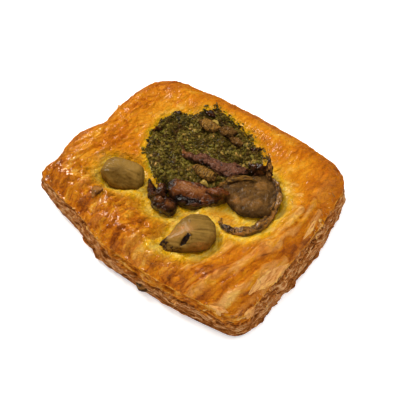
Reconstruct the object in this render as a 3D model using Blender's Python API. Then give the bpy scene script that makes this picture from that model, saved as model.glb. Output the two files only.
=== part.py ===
"""Savoury danish pastry: a laminated dough pillow with a herb filling and cooked mushrooms on top.

Frame: +X along the long side, +Y across it, +Z up, origin under the middle of the flat base.
Every size below is in millimetres; MM turns it into Blender's metres.
"""

import math
from collections import namedtuple

import bmesh
import bpy
from mathutils import Matrix, Vector, noise
from mathutils.bvhtree import BVHTree

MM = 0.001
PASTRY_NAME = "savoury_danish"

# ---- dough pillow -------------------------------------------------------------------------
CORNERS = {  # plan position of each corner before rounding, and its corner radius
    "near_left": (-60.0, -41.0, 6.0),
    "near_right": (60.0, -42.5, 8.0),
    "far_right": (59.5, 49.0, 12.0),
    "far_left": (-59.5, 47.5, 12.0),
}
BOW = {"near": 9.5, "right": 3.0, "far": 3.5, "left": 0.0}  # how far each side swells out
RIM_INSET = {"near": 2.0, "right": 3.5, "far": 1.5, "left": 2.0}  # top edge inside the outline
LOBES = (  # plan point on the outline, reach, how far the dough has puffed out or drawn in there
    ((-60.0, -14.0), 10.0, 3.0),
    ((-60.0, 1.5), 5.0, -2.0),
    ((-60.0, 25.0), 16.0, 1.8),
    ((-31.0, -49.0), 13.0, -1.8),
    ((-8.0, -51.0), 7.0, 0.8),
    ((62.0, 40.0), 15.0, -1.2),
    ((-42.0, 50.0), 12.0, -1.0),
)
TOP_STEPS = (30, 24)  # grid cells along X and Y on the top
WALL_STEPS = 5
UNEVENNESS = 0.8  # height of the soft swells that baking leaves

RIM_HEIGHT = {"near": 16.5, "right": 16.5, "far": 18.5, "left": 17.0}  # top of the side
PLATEAU_HEIGHT = 22.0
CREST_HEIGHT, CREST_INSET, CREST_SPREAD = 2.0, 12.0, 6.0  # the swollen ring round the well
ROUNDING = 4.0  # width over which the top edge rounds down
CORNER_DROP, CORNER_REACH = 2.5, 13.0
WELLS = (  # centre, half sizes along and across the slant, depth pressed into the dough
    ((3.0, 0.0), (46.0, 42.0), 3.0),
    ((-4.0, 15.0), (34.0, 30.0), 8.0),
    ((29.0, 2.0), (22.0, 24.0), 5.0),
    ((0.0, -15.0), (22.0, 15.0), 6.0),
    ((-24.5, -17.5), (17.0, 13.5), 6.0),
    ((20.0, -27.0), (19.0, 18.0), 6.0),
)
WELL_SLANT = 38.8  # degrees from +X to the long axis of every well
WELL_FLOOR = 0.5  # share of a well's half sizes that is flat
FOOT_HEIGHT, FOOT_INSET, BASE_INSET = 1.2, 0.4, 4.0
LIFTED_CORNER, LIFT, LIFT_REACH = (-60.0, -41.0), 4.5, 24.0

RIDGES = (  # start, end, half width, height of the long puffed folds beside the edges
    ((36.0, -40.0), (44.0, -12.0), 3.2, 1.5),
    ((46.0, -43.0), (50.0, -2.0), 2.8, 1.4),
    ((53.5, -40.0), (55.5, 8.0), 2.4, 1.1),
    ((-47.0, -30.0), (-49.0, 30.0), 4.0, 0.7),
)

# ---- filling and mushrooms ----------------------------------------------------------------
GAP = 0.35  # clear space between neighbouring pieces
HEAP_CENTRE, HEAP_RISE = (-3.0, 14.0), 7.0
HEAP_EDGE = (  # plan points round the heap's uneven foot
    (-30.6, 23.6), (-27.0, 25.6), (-23.2, 29.3), (-19.6, 33.9), (-13.9, 37.1), (-6.9, 37.9),
    (1.6, 36.2), (7.4, 34.4), (13.9, 31.2), (19.4, 26.4), (22.3, 21.0), (22.0, 12.0), (16.0, 4.0),
    (7.0, -4.0), (-4.0, -10.0), (-13.9, -9.7), (-20.3, -6.0), (-26.5, -0.2), (-30.1, 7.3),
    (-31.4, 15.8),
)
HEAP_FALL = 0.8  # less puts more of the heap's points near its foot
LEAST_THICKNESS = 1.0
SETTLE_ROUNDS = 4

DOUGH = ((0.80, 0.45, 0.12), 0.35)
HERBS = ((0.16, 0.16, 0.05), 0.6)
STALK = ((0.42, 0.31, 0.13), 0.5)
CAP = ((0.25, 0.17, 0.09), 0.5)
GLAZED = ((0.33, 0.13, 0.05), 0.25)
DARK = ((0.10, 0.05, 0.04), 0.35)
MAUVE = ((0.26, 0.14, 0.12), 0.5)
GILLS = ((0.36, 0.26, 0.09), 0.55)

# lift: of the middle over what is below; edge and section: 1 rounded, less is boxier
Chunk = namedtuple("Chunk", "outline half_height lift edge finish")
Strip = namedtuple("Strip", "path half_widths half_heights lift ends section finish")
TOPPINGS = {
    "stalk_left": Chunk(
        ((-31.8, -25.6), (-34.5, -18.6), (-32.9, -16.0), (-26.5, -13.8), (-20.9, -12.4),
         (-17.1, -12.6), (-14.5, -16.0), (-13.9, -21.0), (-19.0, -25.2), (-25.0, -26.8),
         (-28.5, -26.2)), 4.8, -1.8, 0.45, STALK),
    "stalk_front": Chunk(
        ((11.6, -39.2), (13.1, -32.0), (14.2, -24.9), (15.5, -19.1), (18.3, -16.2),
         (21.2, -14.9), (26.4, -16.4), (29.3, -19.5), (30.0, -24.5), (27.6, -28.2),
         (24.5, -30.8), (19.5, -34.8), (15.2, -38.0)), 5.0, -2.0, 0.45, STALK),
    "dark_lump": Chunk(
        ((-6.2, -21.1), (-2.8, -23.8), (1.7, -23.6), (6.3, -22.4), (7.4, -19.9), (5.9, -17.0),
         (3.0, -15.9), (-1.8, -17.0), (-5.4, -18.8)), 3.2, -1.0, 0.7, DARK),
    "dark_wedge": Chunk(
        ((-10.4, -17.9), (-7.2, -20.3), (-5.4, -18.4), (-7.7, -15.8), (-10.5, -14.6),
         (-14.0, -13.9)), 2.4, -0.2, 0.8, DARK),
    "dark_knob": Chunk(
        ((-5.9, -16.4), (-3.4, -15.6), (-3.8, -12.8), (-6.4, -11.6), (-8.4, -13.5)),
        2.1, 0.0, 0.9, DARK),
    "cap_slice": Strip(
        ((18.5, 2.5), (23.5, 5.0), (29.5, 9.0), (34.0, 11.0), (39.0, 9.0),
         (39.5, 3.0), (37.0, -3.0), (33.5, -9.5), (25.5, -11.0)),
        (4.0, 8.6, 10.6, 7.8, 3.4, 2.4, 2.2, 1.9, 0.9),
        (2.2, 3.0, 3.2, 3.0, 2.6, 2.2, 1.9, 1.6, 0.9), -0.5, 0.35, 0.9, CAP),
    "cap_edge_slice": Strip(
        ((12.5, 0.0), (16.0, 3.5), (20.5, 8.5), (26.0, 13.0)),
        (0.8, 1.7, 1.6, 1.0), (0.8, 1.2, 1.1, 0.8), 0.0, 0.5, 1.0, GILLS),
    "glazed_slice": Chunk(
        ((-3.3, -6.7), (-5.3, -10.4), (-2.6, -13.4), (1.9, -14.9), (6.2, -14.9), (10.3, -13.4),
         (13.9, -11.0), (16.6, -7.1), (17.8, -3.8), (17.6, -1.2), (14.6, -0.9), (10.5, -1.9),
         (6.8, -2.4), (1.9, -4.6)), 2.7, -0.6, 0.7, GLAZED),
    "gill_fan": Chunk(
        ((-1.6, 2.3), (1.8, 0.6), (5.7, 0.1), (9.7, 0.7), (12.0, 2.7), (10.4, 5.3), (6.9, 6.2),
         (2.6, 5.7), (-0.4, 4.5)), 1.5, 0.0, 0.8, GILLS),
    "long_slice": Strip(
        ((-12.5, 9.0), (-7.0, 7.0), (-2.5, 8.5), (3.0, 9.5), (9.5, 9.5), (15.0, 12.0),
         (21.0, 15.0)),
        (0.8, 1.5, 1.5, 1.7, 3.8, 4.7, 2.2), (0.9, 1.2, 1.3, 1.5, 1.9, 2.0, 1.4),
        0.0, 0.45, 0.9, MAUVE),
    "dark_lobe": Chunk(
        ((18.3, 18.3), (20.6, 16.5), (23.8, 15.2), (26.8, 16.5), (28.4, 19.3), (25.7, 21.3),
         (22.1, 21.9), (19.2, 21.1)), 1.9, 0.0, 0.8, DARK),
    "top_slice_left": Chunk(
        ((-17.4, 26.3), (-14.0, 24.6), (-10.7, 24.0), (-6.6, 25.2), (-5.6, 29.3), (-10.9, 30.6),
         (-15.6, 29.4)), 1.3, 0.0, 0.8, GILLS),
    "top_slice_right": Chunk(
        ((-5.0, 28.6), (-2.0, 26.9), (1.7, 28.4), (1.3, 31.7), (-3.8, 31.6)),
        1.3, 0.0, 0.8, MAUVE),
    "top_chip": Chunk(
        ((1.4, 26.4), (5.9, 25.0), (8.4, 27.0), (5.2, 28.0)), 1.1, 0.0, 0.8, MAUVE),
}
CHUNK_CELLS = (28, 10)
RING_CELLS, ALONG_CELLS_PER_MM, LEAST_ALONG, MOST_ALONG = 12, 0.75, 8, 34


def smooth(t):
    """0 below 0, 1 above 1, with a soft start and end between."""
    t = min(1.0, max(0.0, t))
    return t * t * (3.0 - 2.0 * t)


def side_mix(u, v, values):
    """A value given for each side, shared out over the plan square's edge."""
    weights = {
        "near": max(0.0, -v) ** 4, "far": max(0.0, v) ** 4,
        "left": max(0.0, -u) ** 4, "right": max(0.0, u) ** 4,
    }
    return sum(values[s] * w for s, w in weights.items()) / max(1e-9, sum(weights.values()))


def rounded(u, v):
    """Moves a point of the unit square's edge onto one with rounded corners, still in -1..1."""
    half = (abs(CORNERS["near_left"][0]), abs(CORNERS["far_left"][1]))
    corner = ("near" if v < 0 else "far") + ("_left" if u < 0 else "_right")
    radius = CORNERS[corner][2]
    long_axis = 0 if abs(u) < abs(v) else 1
    share = min(abs(u), abs(v))
    straight = half[long_axis] - radius
    along = share * (straight + radius * math.pi / 4)
    if along <= straight:
        out = [along / half[long_axis], 1.0]
    else:
        angle = (along - straight) / radius
        out = [(straight + radius * math.sin(angle)) / half[long_axis],
               1.0 - radius * (1.0 - math.cos(angle)) / half[1 - long_axis]]
    if long_axis == 1:
        out.reverse()
    return math.copysign(out[0], u), math.copysign(out[1], v)


def plan(u, v, inset=0.0):
    """Plan position, in mm, of a point of the square -1..1 that the top grid is made on."""
    reach = max(abs(u), abs(v), 1e-9)
    ru, rv = rounded(u / reach, v / reach)
    ru, rv = ru * reach, rv * reach
    near_left, near_right = CORNERS["near_left"], CORNERS["near_right"]
    far_right, far_left = CORNERS["far_right"], CORNERS["far_left"]
    place = [
        ((1 - ru) * ((1 - rv) * near_left[k] + (1 + rv) * far_left[k])
         + (1 + ru) * ((1 - rv) * near_right[k] + (1 + rv) * far_right[k])) / 4
        for k in (0, 1)
    ]
    place[0] += (BOW["right"] * (1 + ru) - BOW["left"] * (1 - ru)) / 2 * (1 - rv * rv)
    place[1] += (BOW["far"] * (1 + rv) - BOW["near"] * (1 - rv)) / 2 * (1 - ru * ru)
    point = Vector(place)
    puff = sum(push * math.exp(-((point - Vector(at)).length / size) ** 2)
               for at, size, push in LOBES)
    return point + point.normalized() * (puff - inset * reach)


EDGE = [plan(*pair) for k in range(-30, 31)
        for pair in ((k / 30, -1), (k / 30, 1), (-1, k / 30), (1, k / 30))]
PLAN_MIDDLE = Vector([(min(p[k] for p in EDGE) + max(p[k] for p in EDGE)) / 2 for k in (0, 1)])


def edge_inset(point):
    """How far inside the outline a plan point lies."""
    return min((point - e).length for e in EDGE)


def ridge_rise(point):
    """Height of the long folds at a plan point."""
    rise = 0.0
    for start, end, half_width, height in RIDGES:
        a, b = Vector(start), Vector(end)
        along = min(1.0, max(0.0, (point - a).dot(b - a) / (b - a).length_squared))
        away = (point - a.lerp(b, along)).length
        rise += height * math.exp(-(away / half_width) ** 2)
    return rise


def well_depth(point):
    """How far the toppings have pressed the dough down at a plan point."""
    total = 0.0
    slant = Matrix.Rotation(-math.radians(WELL_SLANT), 2)
    for centre, radii, depth in WELLS:
        away = slant @ (point - Vector(centre))
        away = Vector((away.x / radii[0], away.y / radii[1])).length
        total += (depth * (1.0 - smooth((away - WELL_FLOOR) / (1.0 - WELL_FLOOR)))) ** 4
    return total ** 0.25


def top_height(point, inset, rim_height):
    """Height of the dough's top at a plan point this far inside an edge of this height."""
    height = PLATEAU_HEIGHT
    height += CREST_HEIGHT * math.exp(-((inset - CREST_INSET) / CREST_SPREAD) ** 2)
    height -= (PLATEAU_HEIGHT - rim_height) * math.exp(-(inset / ROUNDING) ** 1.5)
    for x, y, _ in CORNERS.values():
        height -= CORNER_DROP * math.exp(-((point - Vector((x, y))).length / CORNER_REACH) ** 2)
    height += ridge_rise(point) - well_depth(point)
    return height + UNEVENNESS * noise.noise(Vector((point.x / 14, point.y / 22, 0.5)))


def lifted(point):
    """How far the underside has curled up at a plan point near the raised corner."""
    return LIFT * math.exp(-((point - Vector(LIFTED_CORNER)).length / LIFT_REACH) ** 2)


def dough_mesh():
    """The pillow: a grid for the top, extruded rings for the side, and one flat face below."""
    bm = bmesh.new()
    bmesh.ops.create_grid(bm, x_segments=TOP_STEPS[0], y_segments=TOP_STEPS[1], size=1.0)
    station = bm.verts.layers.float_vector.new("station")
    for vert in bm.verts:
        u, v = vert.co.x, vert.co.y
        vert[station] = (u, v, 0.0)
        reach = max(abs(u), abs(v))
        point = plan(u, v, side_mix(u, v, RIM_INSET) * smooth((reach - 0.6) / 0.4))
        height = top_height(point, edge_inset(plan(u, v)), side_mix(u, v, RIM_HEIGHT))
        vert.co = (*point, height)
    for ring in range(1, WALL_STEPS + 2):
        rim = [e for e in bm.edges if e.is_boundary]
        made = bmesh.ops.extrude_edge_only(bm, edges=rim)["geom"]
        down = min(1.0, ring / WALL_STEPS)
        for vert in (g for g in made if isinstance(g, bmesh.types.BMVert)):
            u, v = vert[station][:2]
            rim_inset = side_mix(u, v, RIM_INSET)
            top = plan(u, v, rim_inset)
            rim_height = top_height(top, 0.0, side_mix(u, v, RIM_HEIGHT))
            foot = FOOT_HEIGHT + lifted(top)
            inset = rim_inset * (1 - smooth(down / 0.8)) + FOOT_INSET * smooth((down - 0.8) / 0.2)
            height = rim_height + (foot - rim_height) * down
            if ring > WALL_STEPS:
                inset, height = BASE_INSET + 2.5 * lifted(top), 0.0
            vert.co = (*plan(u, v, inset), height)
    bmesh.ops.contextual_create(bm, geom=[e for e in bm.edges if e.is_boundary])
    bmesh.ops.recalc_face_normals(bm, faces=bm.faces)
    return bm


def along_path(points, t):
    """Point at share t of a path, on a Catmull-Rom curve through its points."""
    spans = len(points) - 1
    i = min(spans - 1, int(t * spans))
    f = t * spans - i
    p1, p2 = Vector(points[i]), Vector(points[i + 1])
    p0 = Vector(points[i - 1]) if i else p1 * 2 - p2
    p3 = Vector(points[i + 2]) if i + 2 <= spans else p2 * 2 - p1
    return 0.5 * (2 * p1 + (p2 - p0) * f + (2 * p0 - 5 * p1 + 4 * p2 - p3) * f * f
                  + (3 * p1 - p0 - 3 * p2 + p3) * f ** 3)


def along_values(values, t):
    """Value at share t, on straight lines between the given ones."""
    spans = len(values) - 1
    i = min(spans - 1, int(t * spans))
    return values[i] + (values[i + 1] - values[i]) * (t * spans - i)


class Stack:
    """What has been laid down so far, so that the next piece rests on it with a gap."""

    def __init__(self):
        self.trees = []
        self.points = []

    def add(self, bm):
        self.trees.append(BVHTree.FromBMesh(bm))
        self.points += [vert.co.copy() for vert in bm.verts]
        self.points += [(edge.verts[0].co + edge.verts[1].co) / 2 for edge in bm.edges]

    def height(self, point):
        """Height of the highest surface laid down at a plan point, or the table's."""
        start = Vector((point.x, point.y, 200.0))
        hits = [tree.ray_cast(start, Vector((0, 0, -1)))[0] for tree in self.trees]
        return max([hit.z for hit in hits if hit] + [0.0])

    def peaks_under(self, bm):
        """The uncovered points, of what has been laid down, that lie within the piece's plan."""
        low = [min(v.co[k] for v in bm.verts) for k in (0, 1)]
        high = [max(v.co[k] for v in bm.verts) for k in (0, 1)]
        inside = [p for p in self.points if low[0] < p.x < high[0] and low[1] < p.y < high[1]]
        return [p for p in inside if p.z > self.height(p) - GAP / 2]

    def settle(self, bm, shares):
        """Lifts vertices until no face or edge of the piece comes close to what is below it."""
        bm.faces.ensure_lookup_table()
        peaks = self.peaks_under(bm)
        columns = {}
        for vert in bm.verts:
            columns.setdefault((round(vert.co.x, 3), round(vert.co.y, 3)), []).append(vert)
        columns = [sorted(column, key=shares.get) for column in columns.values()]
        spots = [[v] for v in bm.verts] + [list(e.verts) for e in bm.edges]
        spots += [list(f.verts) for f in bm.faces]
        spots += [[*f.verts, *[v] * len(f.verts)] for f in bm.faces for v in f.verts]
        for _ in range(SETTLE_ROUNDS):
            for verts in spots:
                middle = sum((v.co for v in verts), Vector()) / len(verts)
                share = sum(shares[v] for v in verts) / len(verts)
                short = self.height(middle) + GAP + LEAST_THICKNESS * share - middle.z
                for vert in set(verts) if short > 0 else ():
                    vert.co.z += short
            tree = BVHTree.FromBMesh(bm)
            for peak in peaks:
                hit, _, face, _ = tree.ray_cast(Vector((peak.x, peak.y, -1.0)), Vector((0, 0, 1)))
                if hit and hit.z < peak.z + GAP:
                    for vert in bm.faces[face].verts:
                        vert.co.z += peak.z + GAP - hit.z
            for column in columns:
                for low, high in zip(column, column[1:]):
                    least = low.co.z + LEAST_THICKNESS * (shares[high] - shares[low])
                    high.co.z = max(high.co.z, least)


def reach_at(outline, centre, angle):
    """Distance from a centre to a plan outline round it, at an angle."""
    ahead = Vector((math.cos(angle), math.sin(angle)))
    middle = Vector(centre)
    reaches = [0.0]
    for start, end in zip(outline, (*outline[1:], outline[0])):
        a, b = Vector(start) - middle, Vector(end) - middle
        turning = ahead.cross(b - a)
        if abs(turning) > 1e-9 and -1e-9 <= ahead.cross(a) / -turning <= 1 + 1e-9:
            reaches.append(a.cross(b) / turning)
    return max(reaches)


def heap_mesh(stack):
    """The herb filling: a low dome with an uneven edge that fills the dough's well."""
    bm = bmesh.new()
    bmesh.ops.create_uvsphere(bm, u_segments=36, v_segments=14, radius=1.0)
    shares = {}
    for vert in bm.verts:
        level = vert.co.z
        shares[vert] = (level + 1) / 2
        across = Vector((vert.co.x, vert.co.y))
        angle = math.atan2(across.y, across.x)
        spread = min(1.0, across.length) ** HEAP_FALL * reach_at(HEAP_EDGE, HEAP_CENTRE, angle)
        point = Vector((HEAP_CENTRE[0] + spread * math.cos(angle),
                        HEAP_CENTRE[1] + spread * math.sin(angle)))
        below = stack.height(point)
        dome = HEAP_RISE * max(0.0, level) ** 0.7
        bumps = 0.5 * noise.noise(Vector((point.x / 5, point.y / 5, 1.0))) * max(0.0, level)
        vert.co = (*point, below + GAP + dome + bumps)
    return bm, shares


def power(value, exponent):
    """Raises a number's size to a power and keeps its sign."""
    return math.copysign(abs(value) ** exponent, value)


def chunk_mesh(stack, chunk):
    """A thick piece with the plan outline it has in the dish, flat or rounded on top."""
    centre = sum((Vector(point) for point in chunk.outline), Vector((0, 0))) / len(chunk.outline)
    middle = stack.height(centre) + GAP + chunk.half_height + chunk.lift
    bm = bmesh.new()
    bmesh.ops.create_uvsphere(
        bm, u_segments=CHUNK_CELLS[0], v_segments=CHUNK_CELLS[1], radius=1.0)
    shares = {}
    for vert in bm.verts:
        angle = math.atan2(vert.co.y, vert.co.x)
        spread = min(1.0, math.hypot(vert.co.x, vert.co.y)) ** chunk.edge
        spread *= reach_at(chunk.outline, centre, angle)
        upward = power(vert.co.z, chunk.edge)
        shares[vert] = (upward + 1) / 2
        vert.co = (centre.x + spread * math.cos(angle), centre.y + spread * math.sin(angle),
                   middle + upward * chunk.half_height)
    return bm, shares


def strip_mesh(stack, strip):
    """A piece swept along a plan path: rounded in section, blunt or tapering at its ends."""
    path = strip.path
    length = sum((Vector(b) - Vector(a)).length for a, b in zip(path, path[1:]))
    along = int(min(MOST_ALONG, max(LEAST_ALONG, length * ALONG_CELLS_PER_MM)))
    bm = bmesh.new()
    bmesh.ops.create_uvsphere(bm, u_segments=RING_CELLS, v_segments=along, radius=1.0)
    shares = {}
    for vert in bm.verts:
        t = math.acos(max(-1.0, min(1.0, -vert.co.z))) / math.pi
        ring = Vector((vert.co.x, vert.co.y))
        fullness = min(1.0, ring.length) ** strip.ends
        ring = ring.normalized() if ring.length > 1e-6 else ring
        sideways = power(ring.x, strip.section) * fullness
        upward = power(ring.y, strip.section) * fullness
        ahead = along_path(path, min(1.0, t + 0.02)) - along_path(path, max(0.0, t - 0.02))
        side = Vector((-ahead.y, ahead.x)).normalized()
        centre = along_path(path, t)
        half_height = along_values(strip.half_heights, t)
        middle = stack.height(centre) + GAP + half_height + strip.lift
        point = centre + side * sideways * along_values(strip.half_widths, t)
        shares[vert] = (upward + 1) / 2
        vert.co = (*point, middle + upward * half_height)
    return bm, shares


def finish_of(name, colour, roughness):
    """A plain Principled material in the piece's colour."""
    material = bpy.data.materials.new(name)
    material.use_nodes = True
    shader = material.node_tree.nodes["Principled BSDF"]
    shader.inputs["Base Color"].default_value = (*colour, 1.0)
    shader.inputs["Roughness"].default_value = roughness
    shader.inputs["Metallic"].default_value = 0.0
    return material


def place(name, bm, finish, collection):
    """Turns a mesh in plan millimetres into a named object in metres, centred on the frame."""
    shift = Matrix.Translation((-PLAN_MIDDLE.x, -PLAN_MIDDLE.y, 0.0))
    bmesh.ops.transform(bm, matrix=Matrix.Scale(MM, 4) @ shift, verts=bm.verts)
    mesh = bpy.data.meshes.new(name)
    bm.to_mesh(mesh)
    bm.free()
    mesh.shade_smooth()
    mesh.materials.append(finish_of(name, *finish))
    collection.objects.link(bpy.data.objects.new(name, mesh))


def build():
    """Clears the scene and lays the pastry down from the dough up."""
    for old in list(bpy.data.objects):
        bpy.data.objects.remove(old)
    collection = bpy.data.collections.new(PASTRY_NAME)
    bpy.context.scene.collection.children.link(collection)
    stack = Stack()
    dough = dough_mesh()
    stack.add(dough)
    place("pastry", dough, DOUGH, collection)
    heap, shares = heap_mesh(stack)
    stack.settle(heap, shares)
    stack.add(heap)
    place("herb_filling", heap, HERBS, collection)
    for name, topping in TOPPINGS.items():
        shape = chunk_mesh if isinstance(topping, Chunk) else strip_mesh
        piece, shares = shape(stack, topping)
        stack.settle(piece, shares)
        stack.add(piece)
        place(name, piece, topping.finish, collection)


build()
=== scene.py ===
"""Looks of a savoury danish pastry: browned laminated crust, chopped herbs and cooked mushrooms.

Lengths inside the builders are millimetres in the frame's own axes; MM turns them into metres.
"""

import math
import random
from collections import namedtuple

import bmesh
import bpy
import numpy as np
from bpy.props import FloatProperty, FloatVectorProperty, IntProperty, PointerProperty
from bpy.types import Operator, Panel, PropertyGroup
from mathutils import Matrix, Vector, noise
from mathutils.bvhtree import BVHTree


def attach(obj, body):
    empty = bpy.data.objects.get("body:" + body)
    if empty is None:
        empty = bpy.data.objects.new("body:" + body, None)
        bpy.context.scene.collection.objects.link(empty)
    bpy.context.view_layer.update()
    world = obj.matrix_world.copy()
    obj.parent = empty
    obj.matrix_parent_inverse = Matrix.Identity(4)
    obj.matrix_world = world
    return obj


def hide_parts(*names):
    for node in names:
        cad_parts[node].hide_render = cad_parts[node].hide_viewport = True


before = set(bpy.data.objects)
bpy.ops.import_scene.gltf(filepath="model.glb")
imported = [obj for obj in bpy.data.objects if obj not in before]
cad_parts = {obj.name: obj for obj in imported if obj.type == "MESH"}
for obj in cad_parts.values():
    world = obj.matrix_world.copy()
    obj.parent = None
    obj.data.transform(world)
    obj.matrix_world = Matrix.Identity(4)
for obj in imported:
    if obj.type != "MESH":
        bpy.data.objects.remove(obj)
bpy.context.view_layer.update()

bl_info = {
    "name": "Savoury danish pastry",
    "version": (1, 0, 0),
    "blender": (4, 5, 0),
    "location": "View3D > Sidebar > Danish",
    "description": "Builds a laminated pastry with a herb heap and cooked mushrooms",
    "category": "Object",
}

MM = 0.001

# ---- dough pillow: the solid's names and sizes, apart from PINCHES -----------------------------
CORNERS = {  # plan place and radius
    "near_left": (-60.0, -41.0, 6.0),
    "near_right": (60.0, -42.5, 8.0),
    "far_right": (59.5, 49.0, 12.0),
    "far_left": (-59.5, 47.5, 12.0),
}
BOW = {"near": 9.5, "right": 3.0, "far": 3.5, "left": 0.0}
RIM_INSET = {"near": 2.0, "right": 3.5, "far": 1.5, "left": 2.0}
RIM_HEIGHT = {"near": 16.5, "right": 16.5, "far": 18.5, "left": 17.0}
# swellings and bays of the outline: plan place, reach, push outwards
LOBES = (
    ((-60.0, -14.0), 10.0, 3.0),
    ((-60.0, 1.5), 5.0, -2.0),
    ((-60.0, 25.0), 16.0, 1.8),
    ((-31.0, -49.0), 13.0, -1.8),
    ((-8.0, -51.0), 7.0, 0.8),
    ((62.0, 40.0), 15.0, -1.2),
    ((-42.0, 50.0), 12.0, -1.0),
)
# raw corners pinched out a little past the solid's, written as the lobes are
PINCHES = (((61.5, -44.0), 6.0, 1.7), ((-61.0, -42.0), 5.0, 1.3))
PLATEAU_HEIGHT = 22.0
CREST_HEIGHT, CREST_INSET, CREST_SPREAD = 2.0, 12.0, 6.0
ROUNDING = 4.0
CORNER_DROP, CORNER_REACH = 2.5, 13.0
# hollows under the toppings: centre, reach along and across WELL_SLANT, depth
WELLS = (
    ((3.0, 0.0), (46.0, 42.0), 3.0),
    ((-4.0, 15.0), (34.0, 30.0), 8.0),
    ((29.0, 2.0), (22.0, 24.0), 5.0),
    ((0.0, -15.0), (22.0, 15.0), 6.0),
    ((-24.5, -17.5), (17.0, 13.5), 6.0),
    ((20.0, -27.0), (19.0, 18.0), 6.0),
)
WELL_SLANT, WELL_FLOOR = math.radians(38.8), 0.5
FOOT_HEIGHT, FOOT_INSET, BASE_INSET = 1.2, 0.4, 4.0
LIFTED_CORNER, LIFT, LIFT_REACH = (-60.0, -41.0), 4.5, 24.0

# ---- looks of the dough ------------------------------------------------------------------------
TOP_CELLS, WALL_ROWS = (240, 198), 56
# of the spheres that pieces start from: round and up them, and along a strip for each mm
CHUNK_CELLS, SHEET_CELLS, STRIP_CELLS = (144, 72), (32, 48), 48
CELLS_PER_MM, FEWEST_CELLS, MOST_CELLS = 3.2, 12, 160
GRAIN_LEAN = math.radians(11.0)  # the glaze's streaks and the long folds lean this far from +Y

# long puffed folds and short pleats: path in plan, half width, height
RIDGES = (
    (((29.7, -39.6), (32.6, -33.8), (34.6, -26.6), (38.5, -15.7), (43.3, -6.9)), 1.7, 0.7),
    (((36.6, -45.5), (38.9, -42.0), (42.4, -34.4), (45.6, -26.2), (48.4, -17.0), (52.0, -8.0)),
     2.5, 1.6),
    (((44.6, -46.0), (48.6, -42.0), (50.6, -36.3), (53.3, -28.0), (55.2, -18.0), (57.0, -10.0)),
     1.9, 1.3),
    (((56.0, -39.0), (57.6, -30.0), (58.6, -20.0), (59.6, -8.0), (58.4, 4.0), (56.0, 18.0)),
     1.3, 0.9),
    (((50.0, -12.0), (52.6, -2.0), (53.4, 8.0), (52.0, 20.0)), 1.3, 0.6),
    (((46.8, -13.4), (48.4, -5.9), (50.0, 3.0), (49.5, 12.0)), 1.5, 0.8),
    (((34.6, 21.0), (41.5, 22.6)), 1.0, 0.6),
    (((39.5, 15.8), (46.0, 18.3)), 1.0, 0.7),
    (((41.8, 10.2), (49.5, 12.4)), 1.1, 0.8),
    (((43.0, 3.0), (51.5, 7.5)), 1.0, 0.7),
    (((44.0, -2.6), (50.5, 0.4)), 1.0, 0.6),
    (((38.0, -14.0), (43.0, -9.0), (46.0, -2.0)), 1.0, 0.5),
    (((26.0, 24.5), (30.5, 28.0)), 1.1, 0.5),
    (((33.0, -46.5), (35.0, -40.5), (37.6, -34.5)), 1.0, 0.7),
    (((22.0, -46.5), (25.5, -40.0)), 1.2, 0.6),
    (((13.0, -47.0), (16.5, -41.5)), 1.2, 0.6),
    (((3.0, -47.0), (5.0, -42.0), (10.0, -39.0)), 1.2, 0.6),
    (((-48.0, -12.0), (-50.5, 6.0), (-50.0, 22.0)), 2.2, 0.4),
    (((-44.0, 18.0), (-38.0, 34.0), (-30.0, 43.0)), 2.0, 0.4),
)

# uneven baking: plan place, reach along X and Y, how much browner, how dry and pinkish
Patch = namedtuple("Patch", "x y across along browner drier")
PATCHES = (
    Patch(-5.1, -44.1, 3.4, 3.6, 0.34, 0.0), Patch(-1.3, -33.7, 6.0, 4.0, 0.16, 0.0),
    Patch(8.0, -45.0, 7.0, 4.6, -0.06, 0.5), Patch(-44.5, -39.9, 8.0, 4.0, 0.16, 0.1),
    Patch(44.0, -31.3, 2.0, 3.2, 0.25, 0.9), Patch(48.2, -15.7, 1.8, 3.2, 0.22, 0.9),
    Patch(35.8, -37.0, 2.2, 3.6, 0.42, 0.2), Patch(52.2, -40.0, 3.6, 4.6, -0.28, 0.0),
    Patch(54.4, -7.5, 3.0, 7.0, 0.14, 0.0), Patch(59.0, -1.1, 2.2, 8.0, 0.3, 0.4),
    Patch(-55.5, -10.1, 4.0, 9.0, 0.16, 0.7), Patch(-56.5, 25.1, 3.6, 9.0, 0.14, 0.6),
    Patch(-50.2, -32.7, 6.0, 6.0, 0.12, 0.0), Patch(-39.4, -8.8, 4.5, 10.0, 0.14, 0.0),
    Patch(-35.0, 23.7, 6.0, 11.0, -0.16, 0.0), Patch(24.6, -43.6, 6.0, 3.6, 0.12, 0.25),
    Patch(5.2, 48.6, 13.0, 3.0, 0.18, 0.5), Patch(22.0, 42.6, 8.0, 4.6, -0.12, 0.0),
    Patch(34.3, 29.9, 5.0, 6.0, -0.2, 0.0), Patch(50.6, 29.2, 5.0, 9.0, 0.0, 0.4),
    Patch(-23.0, -37.5, 8.0, 3.6, 0.08, 0.0), Patch(-33.0, -33.5, 4.0, 3.0, 0.1, 0.0),
    Patch(13.0, -38.5, 5.0, 2.4, -0.16, 0.0), Patch(-44.0, 36.0, 6.0, 5.0, 0.08, 0.3),
    Patch(-44.0, 14.0, 12.0, 26.0, 0.07, 0.0), Patch(48.0, -36.0, 8.0, 12.0, 0.08, 0.0),
    Patch(25.5, -8.0, 6.0, 3.6, 0.14, 0.0),
)

HEAP_CENTRE = (-3.0, 14.0)
HEAP_EDGE = (  # plan points round the heap's ragged foot
    (-30.6, 23.6), (-27.0, 25.6), (-23.2, 29.3), (-19.6, 33.9), (-13.9, 37.1), (-6.9, 37.9),
    (1.6, 36.2), (7.4, 34.4), (13.9, 31.2), (19.4, 26.4), (22.3, 21.0), (22.0, 12.0), (16.0, 4.0),
    (7.0, -4.0), (-4.0, -10.0), (-13.9, -9.7), (-20.3, -6.0), (-26.5, -0.2), (-30.1, 7.3),
    (-31.4, 15.8))

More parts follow.
